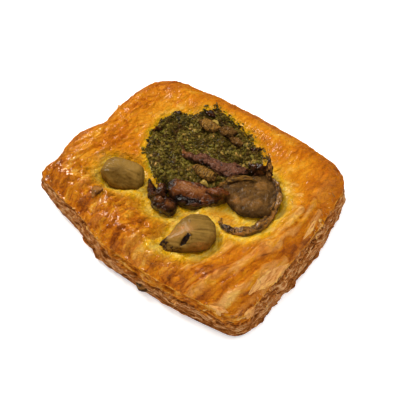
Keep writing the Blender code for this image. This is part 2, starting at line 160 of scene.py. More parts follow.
# ---- mushroom pieces ---------------------------------------------------------------------------
# a chunk fills its plan outline; edge: 1 rounded, less is boxier; fibres run at turn from +X;
# rise: how far its shrunken top stands over the solid's
Chunk = namedtuple("Chunk", "outline edge turn rise finish")
# a strip follows a path; ends: 0 square, 1 pointed; section: 1 oval, less is boxier
Strip = namedtuple("Strip", "path half_widths half_heights lift ends section finish")
TOPPINGS = {
    "stalk_left": Chunk(
        ((-31.8, -25.6), (-34.5, -18.6), (-32.9, -16.0), (-26.5, -13.8), (-20.9, -12.4),
         (-17.1, -12.6), (-14.5, -16.0), (-13.9, -21.0), (-19.0, -25.2), (-25.0, -26.8),
         (-28.5, -26.2)), 0.28, 12, 1.0, "stalk"),
    "stalk_front": Chunk(
        ((11.6, -39.2), (12.6, -34.2), (13.5, -31.0), (12.9, -26.8), (13.0, -22.4),
         (14.6, -18.6), (17.6, -16.0), (21.2, -14.9), (26.4, -16.4), (29.3, -19.5),
         (30.0, -24.5), (27.6, -28.2), (24.5, -30.8), (19.5, -34.8), (15.2, -38.0)),
        0.3, 32, 0.8, "stalk"),
    "dark_lump": Chunk(
        ((-6.2, -21.1), (-2.8, -23.8), (1.7, -23.6), (6.3, -22.4), (7.4, -19.9), (5.9, -17.0),
         (3.0, -15.9), (-1.8, -17.0), (-5.4, -18.8)), 0.8, 40, 0.4, "dark"),
    "dark_wedge": Chunk(
        ((-10.9, -17.9), (-8.0, -20.6), (-4.6, -20.2), (-4.0, -17.4), (-7.7, -15.4),
         (-10.5, -14.4), (-14.2, -13.2)), 0.7, 150, 0.6, "dark"),
    "dark_knob": Chunk(
        ((-5.9, -16.6), (-2.6, -16.2), (-2.9, -12.8), (-6.2, -11.4), (-8.4, -13.5)),
        0.7, 0, 0.6, "dark"),
    "cap_slice": Chunk(
        ((14.6, 2.8), (15.4, 5.3), (17.0, 7.6), (18.9, 11.0), (21.1, 13.6), (23.9, 16.6),
         (26.2, 18.8), (28.8, 19.8), (32.0, 19.4), (35.6, 17.2), (38.8, 13.9), (40.9, 10.0),
         (41.0, 6.2), (39.4, 2.7), (35.9, -0.6), (32.7, -2.8), (29.3, -3.6), (24.9, -3.2),
         (20.6, -1.6), (17.3, 0.2)), 0.6, 60, 0.0, "cap"),
    "cap_edge_slice": Strip(
        ((11.6, -0.4), (14.4, 4.0), (18.2, 7.8), (22.6, 11.0), (27.6, 12.6)),
        (0.6, 1.5, 1.7, 1.4, 0.6), (0.7, 1.1, 1.2, 1.0, 0.6), 0.2, 0.5, 1.0, "gills"),
    "glazed_slice": Chunk(
        ((-3.3, -6.7), (-5.3, -10.4), (-2.6, -13.4), (1.9, -14.9), (6.2, -14.9), (10.3, -13.4),
         (13.9, -11.0), (17.0, -7.0), (19.8, -3.4), (21.0, -0.6), (16.6, -0.6), (10.5, -1.9),
         (6.8, -2.4), (1.9, -4.6)), 0.5, 30, 0.5, "glazed"),
    "gill_fan": Chunk(
        ((-1.6, 2.3), (1.8, 0.6), (5.7, 0.1), (9.7, 0.7), (12.0, 2.7), (10.4, 5.3), (6.9, 6.2),
         (2.6, 5.7), (-0.4, 4.5)), 0.8, 100, 0.5, "gills"),
    "long_slice": Strip(
        ((-12.6, 9.8), (-10.3, 7.2), (-7.2, 5.4), (-4.4, 6.4), (-1.9, 8.4), (3.2, 9.4),
         (8.0, 9.8), (12.5, 10.8), (17.0, 13.0), (20.6, 15.2)),
        (0.9, 1.6, 1.7, 1.6, 2.2, 2.4, 3.0, 4.4, 4.6, 2.4),
        (0.9, 1.2, 1.3, 1.2, 1.5, 1.5, 1.7, 1.9, 1.9, 1.4), 0.2, 0.45, 0.8, "mauve"),
    "dark_lobe": Chunk(
        ((18.3, 18.3), (20.6, 16.5), (23.8, 15.2), (26.8, 16.5), (28.4, 19.3), (25.7, 21.3),
         (22.1, 21.9), (19.2, 21.1)), 0.8, 30, 0.4, "dark"),
    "top_slice_left": Chunk(
        ((-17.4, 26.3), (-14.0, 24.6), (-10.7, 24.0), (-6.6, 25.2), (-5.6, 29.3), (-10.9, 30.6),
         (-15.6, 29.4)), 0.7, 110, 0.3, "gills"),
    "top_slice_right": Chunk(
        ((-6.2, 28.4), (-2.0, 25.9), (2.3, 27.6), (2.0, 32.0), (-4.6, 32.2)),
        0.7, 30, 0.5, "dull"),
    "top_chip": Chunk(
        ((1.0, 26.2), (5.9, 24.4), (9.2, 27.0), (5.2, 28.8)), 0.7, 0, 0.5, "dull"),
}

# small things that are only looks: bits of mushroom, leaf and crust, from the toppings outward,
# and dark strips laid in the shade between and under pieces, as painted shade
SMALL_BITS = {
    "cap_tail": Strip(
        ((28.6, 18.6), (32.4, 18.0), (36.0, 15.6), (38.8, 12.0), (40.3, 8.0), (40.5, 3.0),
         (39.9, -2.6), (38.4, -7.0), (36.0, -10.2), (32.8, -12.0), (29.6, -12.6),
         (26.6, -12.2), (24.8, -10.8), (24.0, -8.4)),
        (0.6, 1.3, 1.6, 1.7, 1.9, 2.0, 2.3, 1.8, 2.4, 1.7, 2.1, 1.1, 1.3, 0.5),
        (0.5, 0.9, 1.0, 1.1, 1.3, 1.6, 1.9, 1.5, 1.9, 1.3, 1.5, 0.8, 1.0, 0.4),
        -0.3, 0.35, 0.85, "tail"),
    "dark_curl": Strip(((19.6, 13.4), (21.6, 16.4), (24.6, 18.4), (27.9, 19.4), (31.4, 18.6)),
                       (0.8, 1.4, 1.5, 1.4, 0.7), (0.7, 1.1, 1.2, 1.1, 0.6), 0.5, 0.5, 1.0,
                       "dark"),
    # dark strips joining the dark pieces: partly dark flesh, partly painted shade in the gaps
    # between them
    "wedge_foot": Strip(((-8.6, -19.4), (-4.4, -18.8), (0.2, -16.4)), (0.9, 1.5, 1.2),
                        (0.8, 1.4, 1.2), 0.0, 0.5, 1.0, "dark"),
    "lump_foot": Strip(((-2.6, -14.6), (0.8, -15.2), (4.6, -15.6)),
                       (1.2, 1.5, 1.0), (0.9, 1.1, 0.8), -0.1, 0.5, 1.0, "dark"),
    # a dark strip along the glazed slice's lower edge: painted shadow under it
    "slice_foot": Strip(((5.4, -14.6), (10.6, -12.6), (14.8, -9.2), (17.8, -5.8), (19.8, -3.0)),
                        (0.8, 1.0, 1.0, 1.0, 0.6), (0.7, 0.9, 0.9, 0.8, 0.6), -0.1, 0.5, 1.0,
                        "dark"),
    "slice_tip": Strip(((11.6, -5.0), (15.4, -3.4), (19.0, -1.4), (22.0, 0.4)),
                       (1.4, 2.2, 1.9, 0.7), (1.0, 1.8, 1.6, 0.7), (-1.4, -1.2, 0.1, 0.3),
                       0.45, 0.8, "glazed"),
    "spike": Strip(((31.2, 15.8), (29.2, 18.4), (27.2, 21.2), (25.6, 23.6), (24.2, 25.6)),
                   (1.4, 1.7, 1.4, 0.9, 0.25), (1.2, 1.4, 1.2, 0.8, 0.25),
                   (-0.4, 0.4, 2.6, 5.2, 7.2), 0.5, 1.0, "spike"),
    "dark_leaf": Strip(((-18.0, 31.6), (-15.6, 33.6), (-12.2, 33.8)),
                       (0.9, 1.9, 0.8), (0.5, 0.9, 0.5), 0.5, 0.5, 1.0, "dark"),
    "pale_bit": Strip(((5.8, -2.4), (7.8, -0.9), (10.2, -0.6)),
                      (0.8, 1.3, 0.8), (0.6, 0.9, 0.6), 0.4, 0.5, 1.0, "pale"),
    "yellow_bit": Strip(((-10.6, 28.6), (-9.0, 29.6), (-7.2, 29.2)),
                        (0.6, 1.0, 0.6), (0.4, 0.6, 0.4), 0.1, 0.5, 1.0, "pale"),
    "edge_leaf_top": Strip(((-30.8, 23.6), (-28.8, 25.2), (-26.8, 25.4)),
                           (0.6, 1.4, 0.7), (0.5, 1.2, 0.5), 0.5, 0.5, 1.0, "dark"),
    "edge_leaf_left": Strip(((-31.4, 8.4), (-29.2, 9.8), (-27.2, 12.0)),
                            (0.7, 1.4, 0.7), (0.5, 1.1, 0.5), 0.4, 0.5, 1.0, "dark"),
    "stray_leaf": Strip(((11.6, 28.4), (13.6, 30.6), (16.4, 33.6)),
                        (0.6, 1.0, 0.4), (0.4, 0.7, 0.3), 0.3, 0.5, 1.0, "dark"),
    "chip": Strip(((-22.9, -39.0), (-23.7, -36.0), (-24.5, -33.0)),
                  (0.3, 1.7, 2.9), (0.5, 1.1, 1.0), 0.4, 0.2, 0.6, "chip"),
    "crumb": Strip(((11.6, -51.2), (14.6, -51.0), (18.0, -50.6)),
                   (0.9, 2.0, 0.7), (0.9, 1.7, 0.7), 0.1, 0.5, 0.9, "spike"),
}

# local dents, swellings and colours, at plan places: turn from +X, reach along and across it,
# push in mm, and what it adds to the shade, the char colour and the warm colour; some marks paint
# highlights and shade, as noted at each piece, and the char colour also paints shade in hollows
Mark = namedtuple("Mark", "x y turn length width push shade burn warm")
MARKS = {
    "stalk_front": (
        # the slot is a real dent, its black partly char and partly painted shade in the hollow;
        # two thin dark lines along the crease and a groove are painted shade
        Mark(21.2, -29.5, 84, 3.4, 1.1, -0.9, -1.2, 1.0, 0.0),
        Mark(20.6, -25.4, -47, 5.0, 0.3, -0.3, -0.5, 0.3, 0.0),
        Mark(17.6, -27.4, 55, 5.6, 3.0, 0.0, 0.35, 0.0, 0.7),
        Mark(13.4, -36.4, 60, 3.6, 2.6, 0.0, -0.6, 0.66, 0.0),
        Mark(19.0, -34.8, 30, 5.0, 1.0, 0.0, -0.35, 0.45, 0.0),
        Mark(24.4, -22.6, 37, 3.6, 0.35, -0.2, -0.5, 0.1, 0.0),
        Mark(17.2, -20.8, 50, 3.0, 2.4, 0.0, -0.12, 0.0, 0.0),
        Mark(27.0, -27.8, 42, 5.0, 0.9, 0.0, -0.3, 0.1, 0.35)),
    "stalk_left": (
        # the far top is painted lighter and the near side darker: painted light and shade
        Mark(-23.0, -16.0, 14, 8.5, 2.2, 0.2, 0.22, 0.0, 0.0),
        Mark(-31.0, -17.5, 110, 2.2, 2.2, 0.0, -0.18, 0.0, 0.0),
        Mark(-20.6, -22.6, 14, 9.0, 2.6, 0.0, -0.5, 0.0, 0.0)),
    "cap_slice": (
        # a raised bump painted lighter, a painted highlight; a dent and the crease along the rim
        # painted darker, as painted shade
        Mark(30.0, 12.2, 30, 3.4, 2.2, 0.9, 0.4, 0.0, 0.1),
        Mark(23.0, 4.0, 20, 4.5, 2.2, -0.3, -0.2, 0.0, 0.0),
        Mark(26.0, 0.5, 20, 5.0, 2.0, 0.0, 0.2, 0.0, 0.3),
        Mark(33.5, 3.5, 60, 3.0, 2.0, 0.5, 0.2, 0.0, 0.1),
        Mark(36.6, 9.0, 110, 6.0, 0.8, -0.6, -0.25, 0.0, 0.0),
        Mark(22.5, 9.5, 45, 5.0, 1.0, 0.6, 0.1, 0.0, 0.0),
        Mark(20.0, 10.0, 50, 7.0, 3.0, 0.0, -0.3, 0.35, 0.0)),
    "cap_tail": (
        Mark(30.0, -12.8, 0, 5.2, 2.4, 0.0, 0.2, 0.6, 0.9),
        Mark(24.5, -10.0, 0, 1.6, 2.4, 0.0, 0.2, 0.3, 0.9),
        # light lines along the tail's ridge: painted highlights over its golden colour
        Mark(33.0, -13.4, 20, 5.0, 0.8, 0.0, 0.7, 0.0, 0.9),
        Mark(41.6, 3.0, 95, 7.0, 0.6, 0.2, 0.6, 0.0, 0.6),
        Mark(35.4, -8.6, 55, 3.4, 0.5, 0.2, 0.5, 0.0, 0.2)),
    "glazed_slice": (
        Mark(3.2, -8.2, 22, 5.2, 2.4, 0.3, 0.6, 0.0, 1.0),
        Mark(9.4, -6.4, 30, 4.2, 1.9, 0.2, 0.45, 0.0, 0.8),
        Mark(-3.0, -10.6, 60, 3.4, 3.0, 0.0, -0.15, 0.6, 0.0),
        Mark(15.0, -3.4, 35, 4.0, 1.4, 0.2, 0.2, 0.0, 0.7),
        # along the lower edge: painted shade under the slice, in dark and char colours
        Mark(7.5, -12.6, 25, 10.0, 1.7, 0.0, -0.5, 0.7, 0.0)),
    "cap_edge_slice": (Mark(19.5, 8.0, 45, 12.0, 3.0, 0.0, -0.3, 0.0, 0.0),),
    "dark_lump": (
        # both lobes painted lighter, painted highlights with a reddish tone; the dent between them
        # darker, painted shade
        Mark(-1.4, -20.4, 10, 2.4, 1.8, 0.6, 0.5, 0.0, 0.35),
        Mark(3.6, -19.4, 10, 2.4, 1.9, 0.7, 0.5, 0.0, 0.35),
        Mark(1.0, -20.2, 95, 3.0, 0.5, -0.5, -0.3, 0.3, 0.0)),
    "dark_wedge": (
        # its ridge painted lighter: a painted highlight
        Mark(-8.6, -17.4, 150, 2.6, 0.7, 0.3, 0.55, 0.0, 0.0),),
    "chip": (Mark(-22.0, -37.5, 59, 4.2, 0.9, 0.0, -0.7, 0.35, 0.0),
             Mark(-24.1, -34.5, 59, 2.6, 1.8, 0.0, 0.3, 0.0, 0.6)),
    "dark_knob": (
        Mark(-6.0, -14.2, 0, 1.3, 1.2, 0.2, 0.6, 0.0, 0.4),),
    "long_slice": (
        Mark(12.5, 11.6, 22, 6.0, 2.4, 0.3, 0.2, 0.0, 0.0),
        Mark(5.0, 9.4, 10, 3.4, 0.6, 0.3, 0.3, 0.0, 0.0),
        Mark(-9.4, 6.8, 0, 4.4, 3.4, 0.0, 0.15, 0.0, 0.55),
        # a thin dark dent along the slice: painted shade in a crease
        Mark(11.0, 8.4, 30, 6.0, 0.6, -0.4, -0.4, 0.3, 0.0)),
    "dark_lobe": (
        # lighter warm patches and a small bright spot: painted highlights
        Mark(24.2, 18.6, 30, 4.4, 1.6, 0.3, 0.5, 0.0, 0.5),
        Mark(25.6, 18.4, 30, 1.4, 0.8, 0.4, 0.8, 0.0, 0.0),
        Mark(21.6, 18.6, 60, 1.8, 0.9, 0.2, 0.5, 0.0, 0.5)),
}

# cut faces: past a plan place, towards turn, the top drops a step and then falls so much per mm
Facet = namedtuple("Facet", "x y turn step slope")
FACETS = {
    "stalk_left": (Facet(-22.8, -21.0, -51, 0.0, 0.85), Facet(-30.8, -19.0, 190, 0.0, 0.4),
                   Facet(-17.0, -16.0, 20, 0.0, 0.4)),
    "stalk_front": (Facet(20.2, -24.6, 223, 0.25, 0.36), Facet(24.8, -25.0, -51, 0.0, 0.8),
                    Facet(27.0, -20.0, 25, 0.0, 0.3), Facet(17.6, -19.5, 130, 0.0, 0.3),
                    Facet(13.8, -28.0, 178, 0.0, 0.6)),
    "dark_wedge": (Facet(-12.6, -14.6, -30, 0.0, 0.45), Facet(-9.0, -17.2, 240, 0.0, 0.6)),
    "glazed_slice": (Facet(5.0, -10.6, -60, 0.0, 0.55),),
}

# thin loose crust: draped strips, and zones where small flakes stand: path, count, spread
SHEETS = (
    Strip(((54.9, -32.4), (55.9, -26.6), (57.4, -20.6), (58.2, -15.2), (59.2, -9.6)),
          (0.6, 1.5, 1.8, 1.3, 0.5), (0.16,) * 5, 0.5, 0.3, 1.0, "flake"),
    Strip(((45.0, -44.4), (49.0, -43.0), (52.5, -41.6)), (0.4, 0.8, 0.4), (0.15,) * 3, 0.4, 0.3,
          1.0, "flake"),
    Strip(((57.6, -38.4), (58.6, -35.6), (59.0, -32.8)), (0.4, 0.8, 0.4), (0.15,) * 3, 0.4, 0.3,
          1.0, "flake"),
    Strip(((57.6, 2.6), (57.4, 9.4), (56.2, 16.4)), (0.3, 0.8, 0.3), (0.14,) * 3, 0.4, 0.3,
          1.0, "flake"),
)
# different shapes of flake and herb bit, and the seeds that scatter them
FLAKE_SHAPES, HERB_SHAPES, FLAKE_SEED, HERB_SEED = 6, 8, 11, 7
FLAKE_LOWEST = 8.0  # flakes lie on the crust's upper part only
FLAKE_ZONES = (
    (((58.0, -36.0), (60.0, -24.0), (61.2, -12.0), (60.6, 4.0), (58.2, 18.0), (55.0, 32.0)),
     90, 1.8),
    (((40.0, -47.6), (47.0, -46.0), (54.0, -43.4), (57.6, -38.6)), 44, 1.7),
    (((14.0, -50.4), (26.0, -49.2), (38.0, -47.4)), 26, 1.0),
    (((-48.0, -41.0), (-30.0, -45.6), (-12.0, -48.4), (8.0, -50.2)), 22, 0.7),
    (((-14.0, 49.6), (-9.0, 50.6), (8.0, 50.6)), 14, 1.0),
    (((-58.0, -12.0), (-58.6, 8.0), (-56.0, 30.0)), 16, 1.2),
)


# ---- user sizes and colours --------------------------------------------------------------------
def length(name, description, millimetres):
    """A length property that shows in the scene's units."""
    return FloatProperty(name=name, description=description, default=millimetres * MM,
                         subtype="DISTANCE", unit="LENGTH", precision=5)


def linear(code):
    """Linear RGB of an sRGB hex colour."""
    parts = [int(code[i:i + 2], 16) / 255 for i in (1, 3, 5)]
    return tuple(c / 12.92 if c <= 0.04045 else ((c + 0.055) / 1.055) ** 2.4 for c in parts)


def colour(name, description, code):
    """A colour property whose default is given as an sRGB hex value."""
    return FloatVectorProperty(name=name, description=description, default=linear(code),
                               subtype="COLOR", size=3, min=0.0, max=1.0)


class CrustSettings(PropertyGroup):
    """Sizes and colours of the laminated dough."""
    wrinkle_height: length("Wrinkle height", "Height of the crinkles in the glaze", 1.2)
    leaf_spacing: length("Leaf spacing", "Height of one dough leaf at the side", 1.5)
    leaf_reach: length("Leaf reach", "How far leaf edges stand out of the side", 0.9)
    flakes: FloatProperty(name="Loose flakes", description="Share of the loose flakes to make",
                          default=1.0, min=0.0, max=1.0, subtype="FACTOR")
    cream: colour("Palest crust", "Thin light blisters", "#EDB558")
    straw: colour("Light crust", "Lightly baked glaze", "#E2961E")
    golden: colour("Golden crust", "Well glazed dough", "#D67F0F")
    amber: colour("Amber crust", "Deeply glazed dough", "#C1670A")
    russet: colour("Brown crust", "Browned ridges", "#9E4C08")
    umber: colour("Darkest crust", "Caught edges", "#763606")
    dry_pale: colour("Dry crust, pale", "Unglazed raised dough", "#E2A058")
    dry_warm: colour("Dry crust, warm", "Unglazed baked dough", "#C67830")
    dry_brown: colour("Dry crust, brown", "Unglazed browned dough", "#945424")
    side_pale: colour("Side, leaf edge", "Thin leaf edges at the side", "#D8A46C")
    side_warm: colour("Side, warm", "Baked leaves at the side", "#B46E34")
    side_brown: colour("Side, brown", "Dry brown side", "#904F18")
    # the darkest side colour, which the painted shade in the gaps between leaves reaches
    side_dark: colour("Side, dark", "Deep gaps between leaves", "#64310E")
    moist_pale: colour("Moist dough, pale", "Pale dough beside the toppings", "#FBD65C")
    moist_gold: colour("Moist dough, gold", "Oil-soaked dough", "#F0AE14")
    moist_green: colour("Stained dough", "Dough stained by the herbs", "#9C8A14")


class HerbSettings(PropertyGroup):
    """Sizes and colours of the chopped herb heap."""
    pieces: IntProperty(name="Herb bits", description="Number of chopped bits", default=9000)
    smallest: length("Smallest bit", "Length of the smallest chopped bit", 0.6)
    largest: length("Largest bit", "Length of the largest chopped bit", 2.8)
    shadow: colour("Herb shadow", "Darkest, wet herb", "#171106")
    olive: colour("Herb olive", "Cooked leaf", "#453810")
    moss: colour("Herb moss", "Lighter leaf", "#6E5A1B")
    lime: colour("Herb lime", "Yellow-green specks", "#7F742C")
    crumb: colour("Herb crumb", "Pale nutty specks", "#B88A44")
    brown: colour("Herb brown", "Oily brown patches", "#4A2C12")


class MushroomSettings(PropertyGroup):
    """Colours of the cooked mushrooms."""
    # light and dark are the ends of a shade ramp: tops, raised lumps and ridges reach the light
    # end partly through painted light; creases, gaps, feet, edges and undersides reach the dark
    # end partly through painted shade
    stalk_light: colour("Stalk light", "Top of a stalk piece", "#8C692C")
    stalk_dark: colour("Stalk dark", "Foot of a stalk piece", "#523606")
    cap_light: colour("Cap light", "Raised cap skin", "#825A29")
    cap_dark: colour("Cap dark", "Creases in the cap", "#362310")
    tail_light: colour("Tail light", "Thin curled edge of the cap", "#B27C3A")
    glazed_light: colour("Glazed light", "Browned glossy face", "#84431A")
    glazed_dark: colour("Glazed dark", "Burnt edge of the glazed slice", "#240C05")
    gills_light: colour("Gills light", "Pale gill flesh", "#92692A")
    gills_dark: colour("Gills dark", "Gaps between gills", "#2A1908")
    mauve_light: colour("Flesh light", "Purplish cooked flesh", "#80523E")
    mauve_dark: colour("Flesh dark", "Creases in the flesh", "#1F0D0A")
    burnt_light: colour("Burnt light", "Reddish burnt face", "#4A2212")
    burnt_dark: colour("Burnt dark", "Charred edge", "#120706")
    warm: colour("Warm", "Golden-orange cooked patches", "#BC7430")
    char: colour("Char", "Black-purple charring", "#180C0B")
    pale: colour("Pale", "Pale yellow flesh", "#C2A04A")


class StageSettings(PropertyGroup):
    """The camera's lens and place."""
    focal: FloatProperty(name="Focal length", description="Lens for a 36 mm sensor",
                         default=48.6, subtype="DISTANCE_CAMERA")
    azimuth: FloatProperty(name="Azimuth", description="Camera angle round the pastry",
                           default=math.radians(38.8), subtype="ANGLE")
    elevation: FloatProperty(name="Elevation", description="Camera angle over the table",
                             default=math.radians(52.9), subtype="ANGLE")
    distance: length("Distance", "From the camera to what it looks at", 248.8)


# ---- numbers and fields ------------------------------------------------------------------------
FAR_OFF = 1e9  # mm, further than anything
HIGH_UP = 100.0  # mm, over everything


def smooth(t):
    """0 below 0, 1 above 1, with a soft start and end between."""
    t = np.clip(t, 0.0, 1.0)
    return t * t * (3.0 - 2.0 * t)


def bell(t, width=1.0):
    """1 at 0, falling to both sides over a width."""
    return np.exp(-(t / width) ** 2)


def grain(points, size, seed=0.0, octaves=1):
    """Noise of about -1 to 1 at rows of points; the size is one number, or one for each axis."""
    scaled = np.asarray(points, float) / np.asarray(size, float) + seed * 13.7
    if octaves > 1:
        return np.array([noise.fractal(p, 1.0, 2.0, octaves) for p in scaled])
    return np.array([noise.noise(p) for p in scaled])


def crumple(points, size, seed):
    """Crumpled cells: 0 in the creases to 1 inside, a random level, and a random slope of each."""
    crease, level, slope = np.zeros((3, len(points)))
    for i, point in enumerate(np.asarray(points, float) / np.asarray(size, float) + seed * 7.3):
        point = Vector(point)
        away, centres = noise.voronoi(point)
        crease[i] = away[1] - away[0]
        level[i] = noise.cell(centres[0] * 3.1)
        lean = noise.cell_vector(centres[0] * 5.3) * 2 - Vector((1, 1, 1))
        slope[i] = (point - centres[0]).dot(lean)
    return smooth(crease / 0.4), level, slope


def flat(x, y, z=0.0):
    """Rows of points from separate coordinates."""
    return np.stack(np.broadcast_arrays(x, y, z), axis=-1).astype(float)


def turned(dx, dy, turn):
    """Plan distances along a line that is turned this far from +X, and across it."""
    c, s = math.cos(turn), math.sin(turn)
    return dx * c + dy * s, dy * c - dx * s


# ---- shape of the dough ------------------------------------------------------------------------
def side_mix(u, v, values):
    """A value given for each side, shared out over the plan square's edge."""
    near, far = np.maximum(0.0, -v) ** 4, np.maximum(0.0, v) ** 4
    left, right = np.maximum(0.0, -u) ** 4, np.maximum(0.0, u) ** 4
    total = values["near"] * near + values["far"] * far + values["left"] * left
    return (total + values["right"] * right) / np.maximum(1e-9, near + far + left + right)


def rounded(u, v):
    """Moves points of the unit square's edge onto one with rounded corners."""
    half = (abs(CORNERS["near_left"][0]), abs(CORNERS["far_left"][1]))
    radius = np.where(v < 0,
                      np.where(u < 0, CORNERS["near_left"][2], CORNERS["near_right"][2]),
                      np.where(u < 0, CORNERS["far_left"][2], CORNERS["far_right"][2]))
    a, b = np.abs(u), np.abs(v)
    level = a < b
    run, rise = np.where(level, half[0], half[1]), np.where(level, half[1], half[0])
    straight = run - radius
    along = np.minimum(a, b) * (straight + radius * math.pi / 4)
    turn = np.maximum(0.0, along - straight) / radius
    first = np.where(turn > 0, straight + radius * np.sin(turn), along) / run
    second = 1.0 - radius * (1.0 - np.cos(turn)) / rise
    return (np.copysign(np.where(level, first, second), u),
            np.copysign(np.where(level, second, first), v))


def plan(u, v, inset=0.0):
    """Plan positions, in mm, of points of the square -1..1 that the top grid is made on."""
    reach = np.maximum(np.maximum(np.abs(u), np.abs(v)), 1e-9)
    ru, rv = rounded(u / reach, v / reach)
    ru, rv = ru * reach, rv * reach
    near_left, near_right = CORNERS["near_left"], CORNERS["near_right"]
    far_right, far_left = CORNERS["far_right"], CORNERS["far_left"]
    x, y = [
        ((1 - ru) * ((1 - rv) * near_left[k] + (1 + rv) * far_left[k])
         + (1 + ru) * ((1 - rv) * near_right[k] + (1 + rv) * far_right[k])) / 4
        for k in (0, 1)
    ]
    x = x + (BOW["right"] * (1 + ru) - BOW["left"] * (1 - ru)) / 2 * (1 - rv * rv)
    y = y + (BOW["far"] * (1 + rv) - BOW["near"] * (1 - rv)) / 2 * (1 - ru * ru)
    puff = sum(push * np.exp(-((x - at[0]) ** 2 + (y - at[1]) ** 2) / size ** 2)
               for at, size, push in LOBES + PINCHES)
    stretch = 1.0 + (puff - inset * reach) / np.maximum(1e-6, np.hypot(x, y))
    return x * stretch, y * stretch


def edge_inset(x, y):
    """How far inside the outline plan points lie."""
    t = np.linspace(-1, 1, 121)
    ones = np.ones_like(t)
    result = np.full(np.shape(x), FAR_OFF)
    for u, v in ((t, -ones), (t, ones), (-ones, t), (ones, t)):
        for edge_x, edge_y in zip(*plan(u, v)):
            result = np.minimum(result, (x - edge_x) ** 2 + (y - edge_y) ** 2)
    return np.sqrt(result)


def well_depth(x, y):
    """How far the toppings have pressed the dough down."""
    total = 0.0
    for (cx, cy), reach, depth in WELLS:
        along, across = turned(x - cx, y - cy, WELL_SLANT)
        away = np.hypot(along / reach[0], across / reach[1])
        total = total + (depth * (1 - smooth((away - WELL_FLOOR) / (1 - WELL_FLOOR)))) ** 4
    return total ** 0.25


def top_height(x, y, inset, rim_height):
    """Height of the dough's top before its fine folds."""
    height = PLATEAU_HEIGHT + CREST_HEIGHT * bell(inset - CREST_INSET, CREST_SPREAD)
    height = height - (PLATEAU_HEIGHT - rim_height) * np.exp(-(inset / ROUNDING) ** 1.5)
    for cx, cy, _ in CORNERS.values():
        height = height - CORNER_DROP * bell(np.hypot(x - cx, y - cy), CORNER_REACH)
    height = height - well_depth(x, y)
    return height + 0.8 * grain(flat(x, y, 0.5 * 22), (14, 22, 22))


def lifted(x, y):
    """How far the underside has curled up near the raised corner."""
    return LIFT * bell(np.hypot(x - LIFTED_CORNER[0], y - LIFTED_CORNER[1]), LIFT_REACH)


def along_path(points, t):
    """Points at shares t of a path, on a Catmull-Rom curve through its points."""
    pts = np.asarray(points, float)
    pts = np.vstack([2 * pts[0] - pts[1], pts, 2 * pts[-1] - pts[-2]])
    spans = len(points) - 1
    i = np.minimum(spans - 1, (np.asarray(t) * spans).astype(int))
    f = (np.asarray(t) * spans - i)[..., None]
    p0, p1, p2, p3 = pts[i], pts[i + 1], pts[i + 2], pts[i + 3]
    return 0.5 * (2 * p1 + (p2 - p0) * f + (2 * p0 - 5 * p1 + 4 * p2 - p3) * f * f
                  + (3 * p1 - p0 - 3 * p2 + p3) * f ** 3)


def heading(path, t):
    """Which way a path runs at shares t of it."""
    step = 0.02
    return (along_path(path, np.minimum(1.0, t + step))
            - along_path(path, np.maximum(0.0, t - step)))


def along_values(values, t):
    """Values at shares t, on straight lines between the given ones."""
    return np.interp(t, np.linspace(0, 1, len(values)), values)


def reach_at(outline, centre, angle):
    """Distances from a centre to a plan outline round it, at angles."""
    points = np.array(outline, float) - centre
    points = np.vstack([points, points[:1]])
    shares = np.linspace(0, 1, 12, endpoint=False)[:, None, None]
    edge = (points[:-1] * (1 - shares) + points[1:] * shares).reshape(-1, 2)
    bearing = np.arctan2(edge[:, 1], edge[:, 0])
    order = np.argsort(bearing)
    return np.interp(angle, bearing[order], np.linalg.norm(edge, axis=1)[order], period=math.tau)


def beside_toppings(x, y):
    """Distance in mm from plan points to the heap's edge and to the nearest mushroom piece."""
    dx, dy = x - HEAP_CENTRE[0], y - HEAP_CENTRE[1]
    heap = np.hypot(dx, dy) - reach_at(HEAP_EDGE, HEAP_CENTRE, np.arctan2(dy, dx))
    pieces = np.full(np.shape(x), FAR_OFF)
    for topping in (*TOPPINGS.values(), SMALL_BITS["cap_tail"]):
        if isinstance(topping, Chunk):
            centre = np.mean(topping.outline, axis=0)
            dx, dy = x - centre[0], y - centre[1]
            reach = reach_at(topping.outline, centre, np.arctan2(dy, dx))
            pieces = np.minimum(pieces, np.hypot(dx, dy) - reach)
        else:
            t = np.linspace(0, 1, 25)
            for (px, py), width in zip(along_path(topping.path, t),
                                       along_values(topping.half_widths, t)):
                pieces = np.minimum(pieces, np.hypot(x - px, y - py) - width)
    return heap, pieces


def near_and_right(x, y):
    """0..1 how far plan points lie towards the near side, well glazed, and the right side, dry."""
    return smooth((-y - 20) / 14), smooth((x - 24) / 14)


def ridges(x, y):
    """Height of the long folds in mm, and 0..1 how crested the dough is there."""
    height, crest = np.zeros_like(x), np.zeros_like(x)
    warp_x = x + 1.1 * grain(flat(x, y), (6, 9, 9), 60) + 0.5 * grain(flat(x, y), (2, 3, 3), 61)
    warp_y = y + 1.3 * grain(flat(x, y), (9, 9, 9), 62)
    uneven = np.clip(1.0 + 0.5 * grain(flat(x, y), (4, 8, 9), 63), 0.5, 1.3)
    for path, half_width, rise in RIDGES:
        steps = along_path(path, np.linspace(0, 1, 3 * len(path)))
        best = np.full_like(x, FAR_OFF)
        for (ax, ay), (bx, by) in zip(steps[:-1], steps[1:]):
            dx, dy = bx - ax, by - ay
            share = np.clip(((warp_x - ax) * dx + (warp_y - ay) * dy) / (dx * dx + dy * dy), 0, 1)
            best = np.minimum(best, np.hypot(warp_x - ax - share * dx, warp_y - ay - share * dy))
        bulge = np.exp(-(best / half_width) ** 3) * uneven
        height += rise * bulge
        crest = np.maximum(crest, bulge * min(1.0, 0.3 + rise))
    return height, crest


